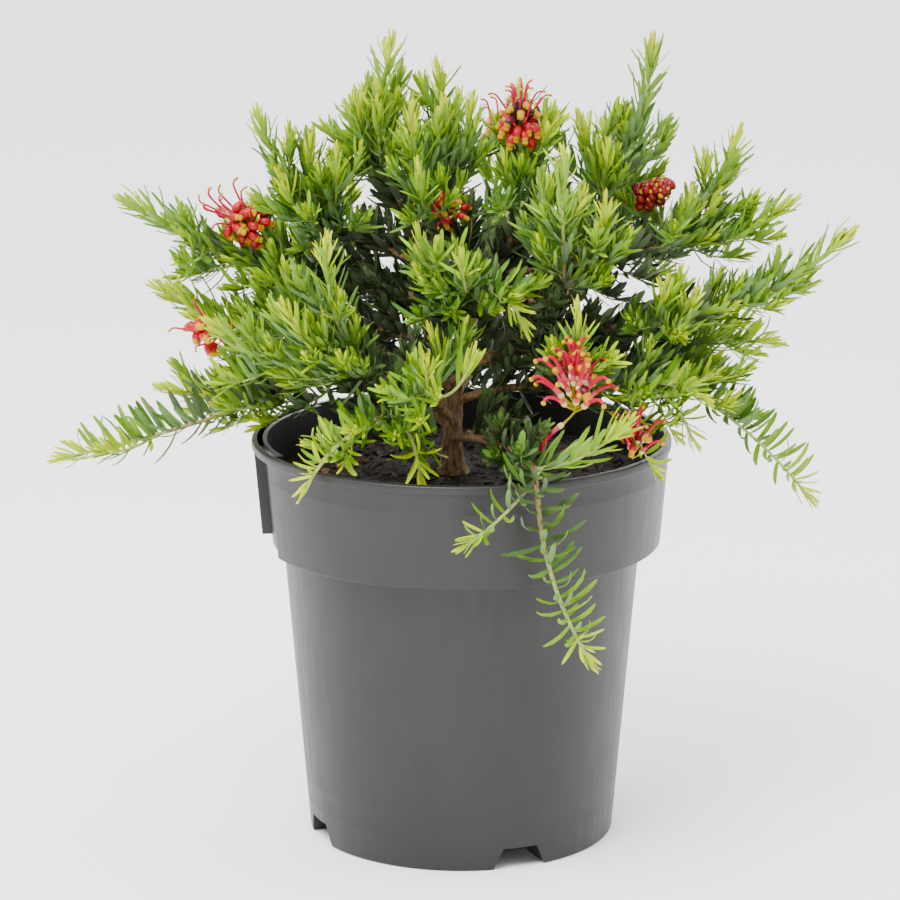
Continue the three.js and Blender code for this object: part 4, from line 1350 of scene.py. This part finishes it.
class LeafRows:
    """The place, direction and size of each leaf, gathered shoot by shoot."""

    def __init__(self, settings):
        self.random = seeded(settings.seed)
        self.settings = settings
        self.spacing, self.long, self.wide = (
            value / MM for value in (settings.spacing, settings.length, settings.width))
        self.foot, self.along, self.up, self.size, self.age, self.mass, self.curl = ([] for _ in range(7))
        self.slack, self.spray, self.shoot = [], [], 0

    def put(self, course, t, radius, lean, turn, length, width, age, mass, lifted, slack, curl=0):
        """One leaf. Where its shoot isn't upright it moves round to the upper side, lifts and curls up."""
        tangent = course.tangent(t)
        level = math.hypot(tangent[0], tangent[1]) * lifted
        sunk = (1 - tangent[2]) / 2 * lifted
        turn = 90 + ((turn + 90) % 360 - 180) * (1 - FINE.gathered * level)
        radial = course.leaning(t, 90, turn)
        lean += level * np.interp(math.sin(math.radians(turn)), (-1, 1), FINE.upper_lean)
        lift = FINE.lift * lifted + FINE.level_lift * level + FINE.sunk_lift * sunk
        along = unit(course.leaning(t, lean + FINE.sunk_lean * sunk, turn) + UPRIGHT * lift)
        place = course.point(t)
        outward = unit(np.array([place[0], place[1], 1.0]))
        light = lerp(tangent, unit(UPRIGHT + FINE.outward * outward), min(0.9, 1.6 * sunk))
        up = light - along * light.dot(along)
        if np.linalg.norm(up) < 0.05:
            up = -radial
        self.foot.append(place + radial * radius * FINE.foot_reach)
        self.along.append(along)
        self.up.append(unit(up))
        self.curl.append(np.interp(age, *LEAF_CHANGES.curl) + FINE.sunk_curl * sunk + curl)
        self.size.append((length, width))
        self.age.append(age)
        self.mass.append(mass)
        self.slack.append(slack)
        self.spray.append(self.shoot)

    def spiral(self, course, radii, mass, zone, past_end, order, turn):
        """Leaves in a spiral over a zone of a course. They lean less towards the shoot's tip."""
        draw = self.random
        self.shoot += 1
        start, stop = zone[0] * course.length, zone[1] * course.length
        outer = outwardness(course.point(zone[1]))
        spacing = self.spacing * np.interp(outer, FINE.outer_part, (1, FINE.outer_spacing))
        for i in range(round((stop - start) / spacing)):
            s = start + (i + FINE.jitter * draw()) * spacing
            t = min(s / course.length, 1)
            turn += GROWTH.golden_angle
            from_tip = course.length + past_end - s
            age = from_tip + ORDERS.aged[order]
            lean = np.interp(from_tip, *LEAF_CHANGES.lean)
            lean += FINE.lean_jitter * spread(draw, -1, 1)
            aside = FINE.turn_jitter * spread(draw, -1, 1)
            length = self.long * ORDERS.size[order] * np.interp(from_tip, *LEAF_CHANGES.length)
            length *= spread(draw, *LEAF_SPREADS.length)
            width = self.wide * np.interp(age, *LEAF_CHANGES.width)
            width *= spread(draw, *LEAF_SPREADS.width)
            slack = ORDERS.slack[order]
            self.put(course, t, lerp(*radii, t), lean, turn + aside, length, width, age, mass, 1, slack)
        return turn

    def tuft(self, course, radii, mass, order, turn):
        """The small upright leaves at a shoot's end. The last reaches its tip."""
        last = self.settings.tuft_leaves - 1
        grown_on = ORDERS.grown_on[order]
        reach = ORDERS.reach[order] - grown_on
        for i in range(last + 1):
            share = i / last
            turn += GROWTH.golden_angle
            t = max(0, 1 + (grown_on - FINE.tuft_spacing * (last - i)) / course.length)
            lean = lerp(*FINE.tuft_angle, share)
            lean += spread(self.random, -FINE.tuft_jitter, FINE.tuft_jitter)
            length = reach if i == last else lerp(*FINE.tuft_lengths, share)
            length *= ORDERS.size[order] ** 2
            width = self.wide * lerp(*FINE.tuft_widths, share)
            age = lerp(*FINE.tuft_ages, share) + ORDERS.aged[order]
            lifted, slack = FINE.tuft_lift * (1 - share), ORDERS.slack[order]
            self.put(
                course, t, radii[1], lean, turn, length, width, age, mass, lifted, slack, FINE.tuft_curl)


def grow_leaves(shoots, settings):
    """Leaves in a spiral up every shoot, steeper and smaller towards its tip, with a tuft at the end."""
    rows = LeafRows(settings)
    for course, radii, mass, order, bloom in shoots:
        zone = (FINE.leaf_zone if order else FINE.stem_leaf_zone, 1 - 1 / course.length)
        reach = 0 if bloom else ORDERS.reach[order]
        turn = rows.spiral(course, radii, mass, zone, reach, order, 360 * rows.random())
        if not bloom:
            rows.tuft(course, radii, mass, order, turn)
    for mass, bough in enumerate(BOUGHS):
        course, zone = SKELETON.courses[bough.name], FINE.bough_leaf_zone
        rows.spiral(course, bough.radii, mass, zone, FINE.past_bough, 3, 360 * rows.random())
    return rows


def head_middles():
    """The middle of the room that each flower head takes up."""
    tips = [(course.point(1), HEAD_KINDS[BOUGHS[mass].mass]) for course, _, mass, _, bloom in SHOOTS if bloom]
    tips += [(np.array(tip, float), kind) for _, tip, kind in INNER_HEADS]
    middles = []
    for tip, kind in tips:
        axis, height, below = HEADS[kind][:3]
        middles.append(tip + unit(np.array(axis)) * (height / 2 - below))
    return np.array(middles)


def clear_of(rows):
    """Which leaves keep off the pot, mix, limbs, flower heads and open trunk, and near their own mass."""
    foot, along = np.array(rows.foot), np.array(rows.along)
    length = np.array(rows.size)[:, 0]
    fine = np.ones(len(foot), bool)
    heads = head_middles() + np.array(HEAD_ROOM.seen_from)
    for share in (0.5, 1.0):
        places = foot + along * (length * share)[:, None]
        fine &= np.linalg.norm(places[:, None] - heads[None], axis=2).min(1) > HEAD_ROOM.radius
        fine &= beside_trunk(places)
    for share in (0.55, 1.0):
        ends = foot + along * (length * share)[:, None]
        fine &= SKELETON.clear(np.array(rows.mass), ends, np.array(rows.slack))
    return fine


def eulers(along, up):
    """XYZ angles that turn +X to each direction along and +Z to each direction up."""
    across = np.cross(up, along)
    return np.stack([
        np.arctan2(across[:, 2], up[:, 2]),
        -np.arcsin(np.clip(along[:, 2], -1, 1)),
        np.arctan2(along[:, 1], along[:, 0]),
    ], axis=1)


def dealing_tree(name, parts):
    """A tree that deals out shapes on points, by each point's own turn, size and number."""
    tree = Tree(name, {"Shapes": "NodeSocketCollection"})
    pool = tree.add("GeometryNodeCollectionInfo", {
        "Collection": tree.given["Shapes"], "Separate Children": True, "Reset Children": True,
    })
    turn = tree.add("FunctionNodeEulerToRotation", {"Euler": tree.named("turned", "FLOAT_VECTOR")})
    points = tree.add("GeometryNodeMeshToPoints", {"Mesh": tree.given["Geometry"]})
    dealt = tree.add("GeometryNodeInstanceOnPoints", {
        "Points": points, "Instance": pool, "Pick Instance": True,
        "Instance Index": tree.named("shape", "INT"), "Rotation": turn,
        "Scale": tree.named("sized", "FLOAT_VECTOR"),
    })
    whole = tree.add("GeometryNodeRealizeInstances", {"Geometry": dealt})
    number = tree.add(
        "ShaderNodeMath", {0: tree.named("tone", "FLOAT"), 1: float(parts), 2: tree.named("part", "FLOAT")},
        operation="MULTIPLY_ADD",
    )
    return tree, whole, number


def deal(name, tree, shapes, places, turns, sizes, shape, tones):
    """One piece made of shapes at places, in millimetres."""
    mesh = bpy.data.meshes.new(name)
    mesh.from_pydata((places * MM).tolist(), [], [])
    give(mesh, "turned", "FLOAT_VECTOR", "POINT", turns)
    give(mesh, "sized", "FLOAT_VECTOR", "POINT", sizes)
    give(mesh, "shape", "INT", "POINT", shape)
    give(mesh, "tone", "FLOAT", "POINT", tones)
    piece = new_object(name, mesh)
    tree.grow(piece, {"Shapes": shapes})
    return piece


def make_blades(length, width):
    """A collection of the leaf's shapes, one for each bend."""
    blades = []
    for bend in LEAF_CURLS:
        vertices, faces, parts = leaf_blade(length, width, bend)
        blade = new_mesh("blade", vertices, faces)
        give(blade, "part", "FLOAT", "FACE", parts)
        blades.append(blade)
    return prototypes("blade", blades)


def leaf_materials(name, tops, under, point):
    """A leaf class's materials: the top, underside and point for each tone, the tops partly painted light."""
    below = plant_material(f"leaf_{name}_under", under, 0.65, specular_ior_level=0.15)
    ends = plant_material(f"leaf_{name}_point", point, 0.5)
    materials = []
    for i, top in enumerate(tops):
        above = plant_material(f"leaf_{name}_{i}", top, 0.55, specular_ior_level=0.14)
        materials += [above, below, ends if name in POINTED or i == len(tops) - 1 else above]
    return materials


def make_leaves(shoots, settings):
    """The leaves, as one piece for each class of age, with painted shade darkening those deep in the crown.
    """
    rows = grow_leaves(shoots, settings)
    kept = clear_of(rows)
    foot, along, up, size, age, curl, spray = (np.array(part)[kept] for part in (
        rows.foot, rows.along, rows.up, rows.size, rows.age, rows.curl, rows.spray))
    random = np.random.default_rng(settings.seed)
    length, width = settings.length / MM, settings.width / MM
    shapes = make_blades(length, width)
    curl = curl + random.normal(0, CURL_JITTER, len(foot))
    shape = abs(curl[:, None] - np.array(LEAF_CURLS)[None]).argmin(1)
    spray_age = random.normal(0, LEAF_SHADE.spray, rows.shoot + 1)
    # Each spray takes one of its class's three top tones at random: lighter and darker copies, partly painted
    # light.
    tone = random.integers(0, 3, rows.shoot + 1)[spray]
    shade = age + random.normal(0, LEAF_SHADE.leaf, len(foot)) + spray_age[spray]
    # Leaves sunk in the crown take older, darker classes: partly their real age, partly painted shade of the
    # crown's inside.
    shade += LEAF_SHADE.sunk * np.clip(LEAF_SHADE.below - outwardness(foot), 0, 1)
    group = np.searchsorted([start for _, start, *_ in LEAF_CLASSES], shade, side="right") - 1
    group = np.clip(group, 0, len(LEAF_CLASSES) - 1)
    sizes = np.stack([size[:, 0] / length, size[:, 1] / width, size[:, 0] / length], axis=1)
    dealt = (foot, eulers(along, up), sizes, shape, tone)
    for number, (name, _, *colours) in enumerate(LEAF_CLASSES):
        tree, whole, part = dealing_tree("deal_leaves_" + name, LEAF_PARTS)
        tree.give_out(tree.paint(whole, part, leaf_materials(name, *colours)))
        leaves = deal("leaves_" + name, tree, shapes, *(values[group == number] for values in dealt))
        finish_piece(leaves, MASS_NODES, sharp=40)


# Blossom: the parts of its florets, and their colours in each tone. A closed floret's mouth is yellow.
FLORET_PARTS = 7
STALK, OVARY, STYLE_FOOT, STYLE, KNOB, TUBE, MOUTH = range(FLORET_PARTS)
FLORET_COLOURS = {
    "fresh": ("#a09200", "#d8cc80", "#c8485c", "#ac0a30", "#ac8a00", "#9c0410", "#b48400"),
    "dark": ("#807010", "#98844c", "#741c30", "#64061a", "#986c04", "#30100a", "#a47a00"),
    "spent": ("#8c8438", "#b0a068", "#a85058", "#8c2634", "#ac8410", "#500c10", "#b4801a"),
    "deep": ("#6c6c10", "#a09858", "#943040", "#80081c", "#988010", "#70040c", "#988414"),
}
# The shapes of floret that the heads deal out, each with its numbers in the collection.
FLORETS = {"pistil": (0, 1, 2), "style": (3, 4, 5), "perianth": (6, 7, 8), "bud": (9, 10)}
# Each head: its axis, the height of its rachis, how far that starts below the stem's tip, its size, and for
# each group of florets their shape, number, shares of the rachis, leans from the axis, tones, and the
# direction that they are drawn to.
HEADS = {
    "wide": ((0.0, -0.1, 1.0), 9, 13, 1.22, [
        ("pistil", 28, (0.0, 1.0), (84, 6), ("fresh",), (-0.1, -0.15, 0.4)),
        ("perianth", 11, (0.9, 1.9), (70, 10), ("fresh",), (0.55, 0.35, 0.5)),
        ("perianth", 3, (0.6, 1.2), (70, 60), ("spent",), (0.5, 0.1, 0.1)),
        ("pistil", 1, (0.0, 0.0), (130, 130), ("fresh",), (-1.8, 0, -0.5)),
    ]),
    "fresh": ((-0.85, -0.35, 0.3), 15, 1, 1.05, [
        ("perianth", 17, (0.0, 1.0), (100, 70), ("fresh",), (0.2, -0.35, 0.0)),
        ("perianth", 2, (0.3, 0.6), (70, 70), ("dark",), (0, -0.2, 0.8)),
        ("style", 14, (0.1, 1.0), (80, 6), ("fresh",), (-0.2, 0, 0.75)),
    ]),
    "dark": ((0.05, -0.3, 1.0), 6, 0, 1.08, [
        ("perianth", 14, (0.0, 0.5), (112, 76), ("fresh",), (0, -0.25, 0)),
        ("perianth", 9, (0.6, 1.2), (82, 20), ("dark",), (-0.1, -0.2, 0.1)),
        ("style", 13, (0.1, 0.9), (58, 8), ("fresh",), (0, 0, 0.3)),
    ]),
    "rear": ((0.3, 0.4, 0.8), 9, 7, 1.0, [
        ("perianth", 15, (0.0, 1.0), (105, 60), ("fresh",), (0, 0.2, 0)),
        ("style", 13, (0.1, 1.0), (74, 6), ("fresh",), (0, 0.1, 0.3)),
    ]),
    "bud": ((0.7, -0.6, 0.45), 13, 3, 1.05, [
        ("bud", 32, (0.0, 1.0), (112, 12), ("deep",), (0, -0.2, 0.1)),
    ]),
    "half": ((-0.6, -0.4, 0.4), 12, 4, 1.0, [
        ("perianth", 12, (0.0, 1.0), (115, 20), ("fresh", "fresh", "fresh", "dark"), (-0.2, -0.2, -0.1)),
        ("style", 3, (0.3, 0.8), (60, 20), ("fresh",), (0, 0, 0)),
    ]),
    "spent": ((0.1, -0.3, 0.9), 10, 12, 1.0, [
        ("pistil", 9, (0.0, 0.8), (60, 10), ("spent", "fresh"), (0, 0, 0.3)),
        ("perianth", 7, (0.3, 1.0), (78, 30), ("spent", "spent", "fresh"), (0, 0, 0.1)),
    ]),
}
HEAD_KINDS = {
    "front_right": "wide", "left_high": "fresh", "top_right": "dark", "back": "rear", "right_up": "bud",
    "mid_left": "half", "right_front_low": "spent",
}
# How near to a head's middle no leaf stands, and how far that room is moved towards the open side.
HEAD_ROOM = Values(radius=13, seen_from=(0, -7, 2))
# The smaller head among the leaves: its bough, its place and its kind.
INNER_HEADS = [("top_centre_bough", (-3, -15, 303), "half")]


def bent(start, bearing, turns, length):
    """A line in the XZ plane that starts at an angle and turns by some degrees at each step."""
    line = [np.array([start[0], 0, start[1]], float)]
    for turn in turns:
        bearing += turn / 2
        angle = math.radians(bearing)
        line.append(line[-1] + np.array([math.cos(angle), 0, math.sin(angle)]) * length / len(turns))
        bearing += turn / 2
    return np.array(line)


def banded(solid, sides, bands):
    """A tube and the part of each of its faces, from the part of each of its bands."""
    numbers = [number for number in bands for _ in range(sides)]
    return numbers + [bands[0], bands[-1]] * sides, solid


def pistil(length, thick, droop, stalk_length=4.8):
    """A stalk, a swollen ovary and a long style that hooks over to its knob, outwards along +X."""
    stalk = bent((0, 0), -4, (3, 3, 3), stalk_length)
    end = stalk[-1]
    turns = [-droop / 8] * 8 + [-22, -34, -30]
    style = bent((end[0] + 2.0, end[2] + 0.5), 10, turns, length)
    radii = np.interp(np.linspace(0, 1, len(style)), (0, 0.2, 0.85, 1), (1.3, 1.05, 0.85, 0.75)) * thick
    run = unit(style[-1] - style[-2])
    return [
        (STALK, tube(stalk, [0.42, 0.42, 0.46, 0.6], 6)),
        (OVARY, ball(end + (1.4, 0, 0.3), unit(np.array([1, 0, 0.18])), 3.6, 1.5 * thick)),
        banded(tube(style, radii, 7), 7, [STYLE_FOOT] * 3 + [STYLE] * 8),
        (KNOB, ball(style[-1] + run * 0.3, run, 1.9, 1.3 * thick)),
    ]


def perianth(length, swell, curl):
    """A closed floret: a short stalk and a fat tube that curls over to its rolled end."""
    stalk = bent((0, 0), 0, (4, 6, 8), 3.4)
    end = stalk[-1]
    body = bent((end[0], end[2]), 62, [-curl / 10] * 10, length)
    shares = np.linspace(0, 1, len(body))
    radii = np.interp(shares, (0, 0.15, 0.4, 0.7, 0.9, 1), (0.7, 1.5, 2.0, 1.75, 1.3, 1.1)) * swell
    run = unit(body[-1] - body[-2])
    return [
        (STALK, tube(stalk, [0.42, 0.42, 0.46, 0.6], 6)),
        banded(tube(body, radii, 9), 9, [TUBE] * 8 + [MOUTH] * 2),
        (MOUTH, ball(body[-1] + run * 0.5, unit(run + (-0.5, 0, 0)), 2.7, 1.35 * swell)),
    ]


def bud(length, swell):
    """A young floret, still a fat egg with a yellow mouth beneath it."""
    stalk = bent((0, 0), 0, (4, 4, 4), 2.6)
    middle = stalk[-1] + (length * 0.42, 0, 0.3)
    mouth = middle + (0.1 * length, 0, -0.34 * length)
    return [
        (STALK, tube(stalk, [0.45, 0.45, 0.5, 0.7], 6)),
        (TUBE, ball(middle, unit(np.array([1, 0, 0.35])), length, 0.42 * length * swell, sides=10, rings=7)),
        (MOUTH, ball(mouth, unit(np.array([1, 0, -0.6])), 0.42 * length, 0.2 * length)),
    ]


def make_florets(settings):
    """The floret shapes as a collection."""
    length = settings.style_length / MM
    shapes = [pistil(length * k, 0.8, droop, 6.2) for k, droop in ((1.0, 4), (1.08, 14), (0.92, 26))]
    shapes += [pistil(length * k, 0.52, droop, 4.4) for k, droop in ((1.05, -8), (0.95, 4), (1.15, 10))]
    shapes += [perianth(7.8, 1.15, 140), perianth(7.2, 1.25, 160), perianth(8.4, 1.05, 175)]
    shapes += [bud(6.2, 0.92), bud(5.4, 1.0)]
    meshes = []
    for parts in shapes:
        vertices, faces, numbers = joined(parts)
        mesh = new_mesh("floret", vertices, faces)
        give(mesh, "part", "FLOAT", "FACE", numbers)
        meshes.append(mesh)
    return prototypes("floret", meshes)


def head_florets(foot, axis, height, groups, size, random):
    """The places, directions, sizes, shapes and tones of one head's florets."""
    names = list(FLORET_COLOURS)
    side = unit(np.cross(axis, (0, 1, 0.2)))
    back = np.cross(axis, side)
    turn = 360 * random()
    rows = []
    for floret, count, shares, leans, tones, drawn in groups:
        for i in range(count):
            turn += GROWTH.golden_angle
            share = lerp(*shares, (i + 0.5) / count)
            lean = math.radians(lerp(*leans, (i + 0.5) / count) + spread(random, -8, 8))
            angle = math.radians(turn)
            across = side * math.cos(angle) + back * math.sin(angle)
            along = unit(axis * math.cos(lean) + across * math.sin(lean) + np.array(drawn))
            up = axis - along * axis.dot(along) - across * 0.01
            up = unit(up - along * up.dot(along))
            shape = FLORETS[floret][math.floor(len(FLORETS[floret]) * random())]
            tone = names.index(tones[math.floor(len(tones) * random())])
            grown = size * spread(random, 0.88, 1.08)
            rows.append((foot + axis * height * share, along, up, grown, shape, tone))
    return rows


def floret_materials():
    """The materials of the florets' parts, tone by tone. A closed floret's tube is glossier than the rest."""
    materials = []
    for name, colours in FLORET_COLOURS.items():
        for part, colour in enumerate(colours):
            roughness, shine = (0.34, 0.3) if part == TUBE else (0.5, 0.15)
            materials.append(plant_material(
                f"floret_{name}_{part}", colour, roughness, 1100, 0.0001, specular_ior_level=shine))
    return materials


def make_blossom(settings):
    """The flower heads at the ends of the stems that the source gives a bloom, and the inner ones."""
    random = seeded(settings.seed)
    rows, stalks = [], []

    def put(course, thick, kind, size):
        axis, height, below, scale, groups = HEADS[kind]
        axis = unit(np.array(axis))
        size *= scale
        foot = course.point(1) - axis * below * size
        rows.extend(head_florets(foot, axis, height * size, groups, size, random))
        line = [course.point(0.7), lerp(course.point(0.9), foot, 0.6), foot]
        line += [foot + axis * height * size * share for share in (0.25, 0.5, 0.75, 1.0)]
        stalks.append((0, tube(smooth(line, 20), np.linspace(thick, 0.45, 21), 8)))

    for course, radii, mass, _, bloom in SHOOTS:
        if bloom:
            put(course, radii[1], HEAD_KINDS[BOUGHS[mass].mass], settings.size)
    for bough, tip, kind in INNER_HEADS:
        put(Course(SKELETON.courses[bough].point(0.96), tip, 1), 0.7, kind, 0.85 * settings.size)
    place, along, up, size, shape, tone = (np.array(part) for part in zip(*rows))
    tree, whole, part = dealing_tree("deal_florets", FLORET_PARTS)
    tree.give_out(tree.paint(whole, part, floret_materials()))
    sizes = np.repeat(size[:, None], 3, axis=1)
    florets = deal("florets", tree, make_florets(settings), place, eulers(along, up), sizes, shape, tone)
    finish_piece(florets, MASS_NODES, sharp=60)
    vertices, faces, _ = joined(stalks)
    stalk = new_object("flower_stalks", new_mesh("flower_stalks", vertices, faces))
    stalk.data.materials.append(plant_material("flower_stalk", "#98a040", 0.5))
    finish_piece(stalk, MASS_NODES, sharp=60)


# The stage, in metres: the camera, the floor's half width and how far it lies below the pot, and the lights
# with their places, the points that they face, their sizes and the setting that gives their power.
CAMERA = Values(place=(-0.0055, -1.845, 0.64), pitch=13.83, lens=159.4)
FLOOR_REACH = 30.0
FLOOR_DROP = 0.0003
LIGHTS = {
    "key": ((-0.5, -0.95, 1.8), (0, 0, 0.25), (1.0, 1.0), "key"),
    "fill": ((-0.2, -1.5, 0.25), (0, 0, 0.1), (0.9, 0.4), "fill"),
    "left": ((-1.3, 0.15, 0.5), (0, 0, 0.15), (0.5, 1.4), "side"),
    "right": ((1.3, 0.15, 0.5), (0, 0, 0.15), (0.5, 1.4), "side"),
}


def soft_light(name, place, target, size, power):
    light = bpy.data.lights.new(name, "AREA")
    light.shape = "RECTANGLE"
    light.size, light.size_y = size
    light.energy = power
    lamp = new_object(name, light)
    lamp.location = place
    lamp.rotation_euler = (Vector(target) - Vector(place)).to_track_quat("-Z", "Y").to_euler()


def make_floor():
    reach, drop = FLOOR_REACH / MM, FLOOR_DROP / MM
    corners = [(x * reach, y * reach, -drop) for x, y in ((-1, -1), (1, -1), (1, 1), (-1, 1))]
    floor = new_object("floor", new_mesh("floor", corners, [(0, 1, 2, 3)]))
    floor.data.materials.append(Surface("floor", "#fbfbfb", 0.9, specular_ior_level=0.1).material)


def make_studio(settings):
    """White light from behind and above that fades towards the camera's side."""
    world = bpy.data.worlds.new("studio")
    world.use_nodes = True
    nodes, links = world.node_tree.nodes, world.node_tree.links
    facing = nodes.new("ShaderNodeSeparateXYZ")
    links.new(nodes.new("ShaderNodeTexCoord").outputs["Generated"], facing.inputs[0])
    fade = nodes.new("ShaderNodeMapRange")
    fade.interpolation_type = "SMOOTHSTEP"
    limits = {"From Min": -0.75, "From Max": 0.1, "To Min": settings.room, "To Max": settings.sky}
    for name, value in limits.items():
        fade.inputs[name].default_value = value
    links.new(facing.outputs["Y"], fade.inputs["Value"])
    sky = nodes["Background"]
    sky.inputs["Color"].default_value = (1, 1, 1, 1)
    links.new(fade.outputs["Result"], sky.inputs["Strength"])
    bpy.context.scene.world = world


def make_camera():
    camera = bpy.data.cameras.new("camera")
    camera.lens = CAMERA.lens
    eye = new_object("camera", camera)
    eye.location = CAMERA.place
    eye.rotation_euler = (math.radians(90 - CAMERA.pitch), 0, 0)
    bpy.context.scene.camera = eye


def make_stage(settings):
    """A plain pale floor, a studio's soft light and the camera."""
    make_floor()
    make_studio(settings)
    for name, (place, target, size, power) in LIGHTS.items():
        soft_light(name, place, target, size, getattr(settings, power))
    make_camera()


# The add-on: settings, one operator for each piece or group of like pieces, and a panel.
class PotSettings(bpy.types.PropertyGroup):
    facets: IntProperty(name="Facets", description="Faces round the pot", default=192, min=24, max=512)
    edge_radius: FloatProperty(
        name="Edge radius", description="How round the pot's edges are", default=0.0008, unit="LENGTH")
    colour: FloatVectorProperty(
        name="Plastic", description="Colour of the pot's plastic", default=(0.015, 0.0143, 0.0141),
        subtype="COLOR")


class SoilSettings(bpy.types.PropertyGroup):
    relief: FloatProperty(name="Relief", description="How uneven the mix is", default=0.0016, unit="LENGTH")
    chips_per_square_metre: FloatProperty(
        name="Chips", description="Bark chips on each square metre", default=34000.0)
    seed: IntProperty(name="Seed", description="Start of the random numbers", default=11)


class ShrubSettings(bpy.types.PropertyGroup):
    bark_relief: FloatProperty(
        name="Bark relief", description="Depth of the cracks for each radius", default=0.09)
    sprig_spacing: FloatProperty(
        name="Sprig spacing", description="Distance between side sprigs", default=0.0064, unit="LENGTH")
    sprig_length: FloatProperty(
        name="Sprig length", description="Length of the longest side sprig", default=0.036, unit="LENGTH")
    seed: IntProperty(name="Seed", description="Start of the random numbers", default=9100)


class LeafSettings(bpy.types.PropertyGroup):
    spacing: FloatProperty(
        name="Spacing", description="Distance between leaves", default=0.00136, unit="LENGTH")
    length: FloatProperty(name="Length", description="Length of a grown leaf", default=0.0192, unit="LENGTH")
    width: FloatProperty(name="Width", description="Width of a grown leaf", default=0.0025, unit="LENGTH")
    tuft_leaves: IntProperty(
        name="Tuft leaves", description="Leaves at the end of each shoot", default=15, min=2)
    seed: IntProperty(name="Seed", description="Start of the random numbers", default=7300)


class BlossomSettings(bpy.types.PropertyGroup):
    style_length: FloatProperty(
        name="Style length", description="Length of a style past its ovary", default=0.0142, unit="LENGTH")
    size: FloatProperty(name="Size", description="Size of the florets", default=1.0)
    seed: IntProperty(name="Seed", description="Start of the random numbers", default=515)


class StageSettings(bpy.types.PropertyGroup):
    sky: FloatProperty(
        name="Backdrop", description="Strength of the white light from behind and above", default=3.35)
    room: FloatProperty(name="Room", description="Strength of the light from the camera's side", default=0.6)
    key: FloatProperty(name="Key light", description="Power of the main light", default=68.0, unit="POWER")
    fill: FloatProperty(
        name="Fill light", description="Power of the low front light", default=3.5, unit="POWER")
    side: FloatProperty(name="Side lights", description="Power of each side light", default=2.0, unit="POWER")


class GREVILLEA_OT_pot(bpy.types.Operator):
    """Make the nursery pot"""
    bl_idname = "grevillea.pot"
    bl_label = "Pot"

    def execute(self, context):
        make_pot(context.scene.grevillea_pot)
        return {"FINISHED"}


class GREVILLEA_OT_soil(bpy.types.Operator):
    """Make the potting mix and its bark chips"""
    bl_idname = "grevillea.soil"
    bl_label = "Potting Mix"

    def execute(self, context):
        settings = context.scene.grevillea_soil
        make_chips(make_soil(settings), settings)
        return {"FINISHED"}


class GREVILLEA_OT_bark(bpy.types.Operator):
    """Make the trunk and boughs"""
    bl_idname = "grevillea.bark"
    bl_label = "Trunk and Boughs"

    def execute(self, context):
        make_bark(context.scene.grevillea_shrub)
        return {"FINISHED"}


class GREVILLEA_OT_foliage(bpy.types.Operator):
    """Grow the stems, twigs and leaves"""
    bl_idname = "grevillea.foliage"
    bl_label = "Twigs and Leaves"

    def execute(self, context):
        shoots = all_shoots(context.scene.grevillea_shrub)
        make_stems(shoots)
        make_leaves(shoots, context.scene.grevillea_leaves)
        return {"FINISHED"}


class GREVILLEA_OT_blossom(bpy.types.Operator):
    """Make the flower heads"""
    bl_idname = "grevillea.blossom"
    bl_label = "Blossom"

    def execute(self, context):
        make_blossom(context.scene.grevillea_blossom)
        return {"FINISHED"}


class GREVILLEA_OT_stage(bpy.types.Operator):
    """Set up the floor, lights and camera"""
    bl_idname = "grevillea.stage"
    bl_label = "Stage"

    def execute(self, context):
        make_stage(context.scene.grevillea_stage)
        return {"FINISHED"}


OPERATORS = (
    GREVILLEA_OT_pot, GREVILLEA_OT_soil, GREVILLEA_OT_bark, GREVILLEA_OT_foliage, GREVILLEA_OT_blossom,
    GREVILLEA_OT_stage,
)
SETTINGS = {
    "grevillea_pot": PotSettings,
    "grevillea_soil": SoilSettings,
    "grevillea_shrub": ShrubSettings,
    "grevillea_leaves": LeafSettings,
    "grevillea_blossom": BlossomSettings,
    "grevillea_stage": StageSettings,
}


class GREVILLEA_PT_panel(bpy.types.Panel):
    bl_label = "Fireworks Grevillea"
    bl_idname = "GREVILLEA_PT_panel"
    bl_space_type = "VIEW_3D"
    bl_region_type = "UI"
    bl_category = "Grevillea"

    def draw(self, context):
        for name, group in SETTINGS.items():
            box = self.layout.box()
            for field in group.__annotations__:
                box.prop(getattr(context.scene, name), field)
        for operator in OPERATORS:
            self.layout.operator(operator.bl_idname)


def register():
    for group in SETTINGS.values():
        bpy.utils.register_class(group)
    for name, group in SETTINGS.items():
        setattr(bpy.types.Scene, name, PointerProperty(type=group))
    for operator in OPERATORS:
        bpy.utils.register_class(operator)
    bpy.utils.register_class(GREVILLEA_PT_panel)


def unregister():
    bpy.utils.unregister_class(GREVILLEA_PT_panel)
    for operator in reversed(OPERATORS):
        bpy.utils.unregister_class(operator)
    for name, group in reversed(SETTINGS.items()):
        delattr(bpy.types.Scene, name)
        bpy.utils.unregister_class(group)


def main():
    register()
    bpy.ops.grevillea.pot()
    bpy.ops.grevillea.soil()
    bpy.ops.grevillea.bark()
    bpy.ops.grevillea.foliage()
    bpy.ops.grevillea.blossom()
    bpy.ops.grevillea.stage()
    bpy.context.view_layer.update()


if __name__ == "__main__":
    main()
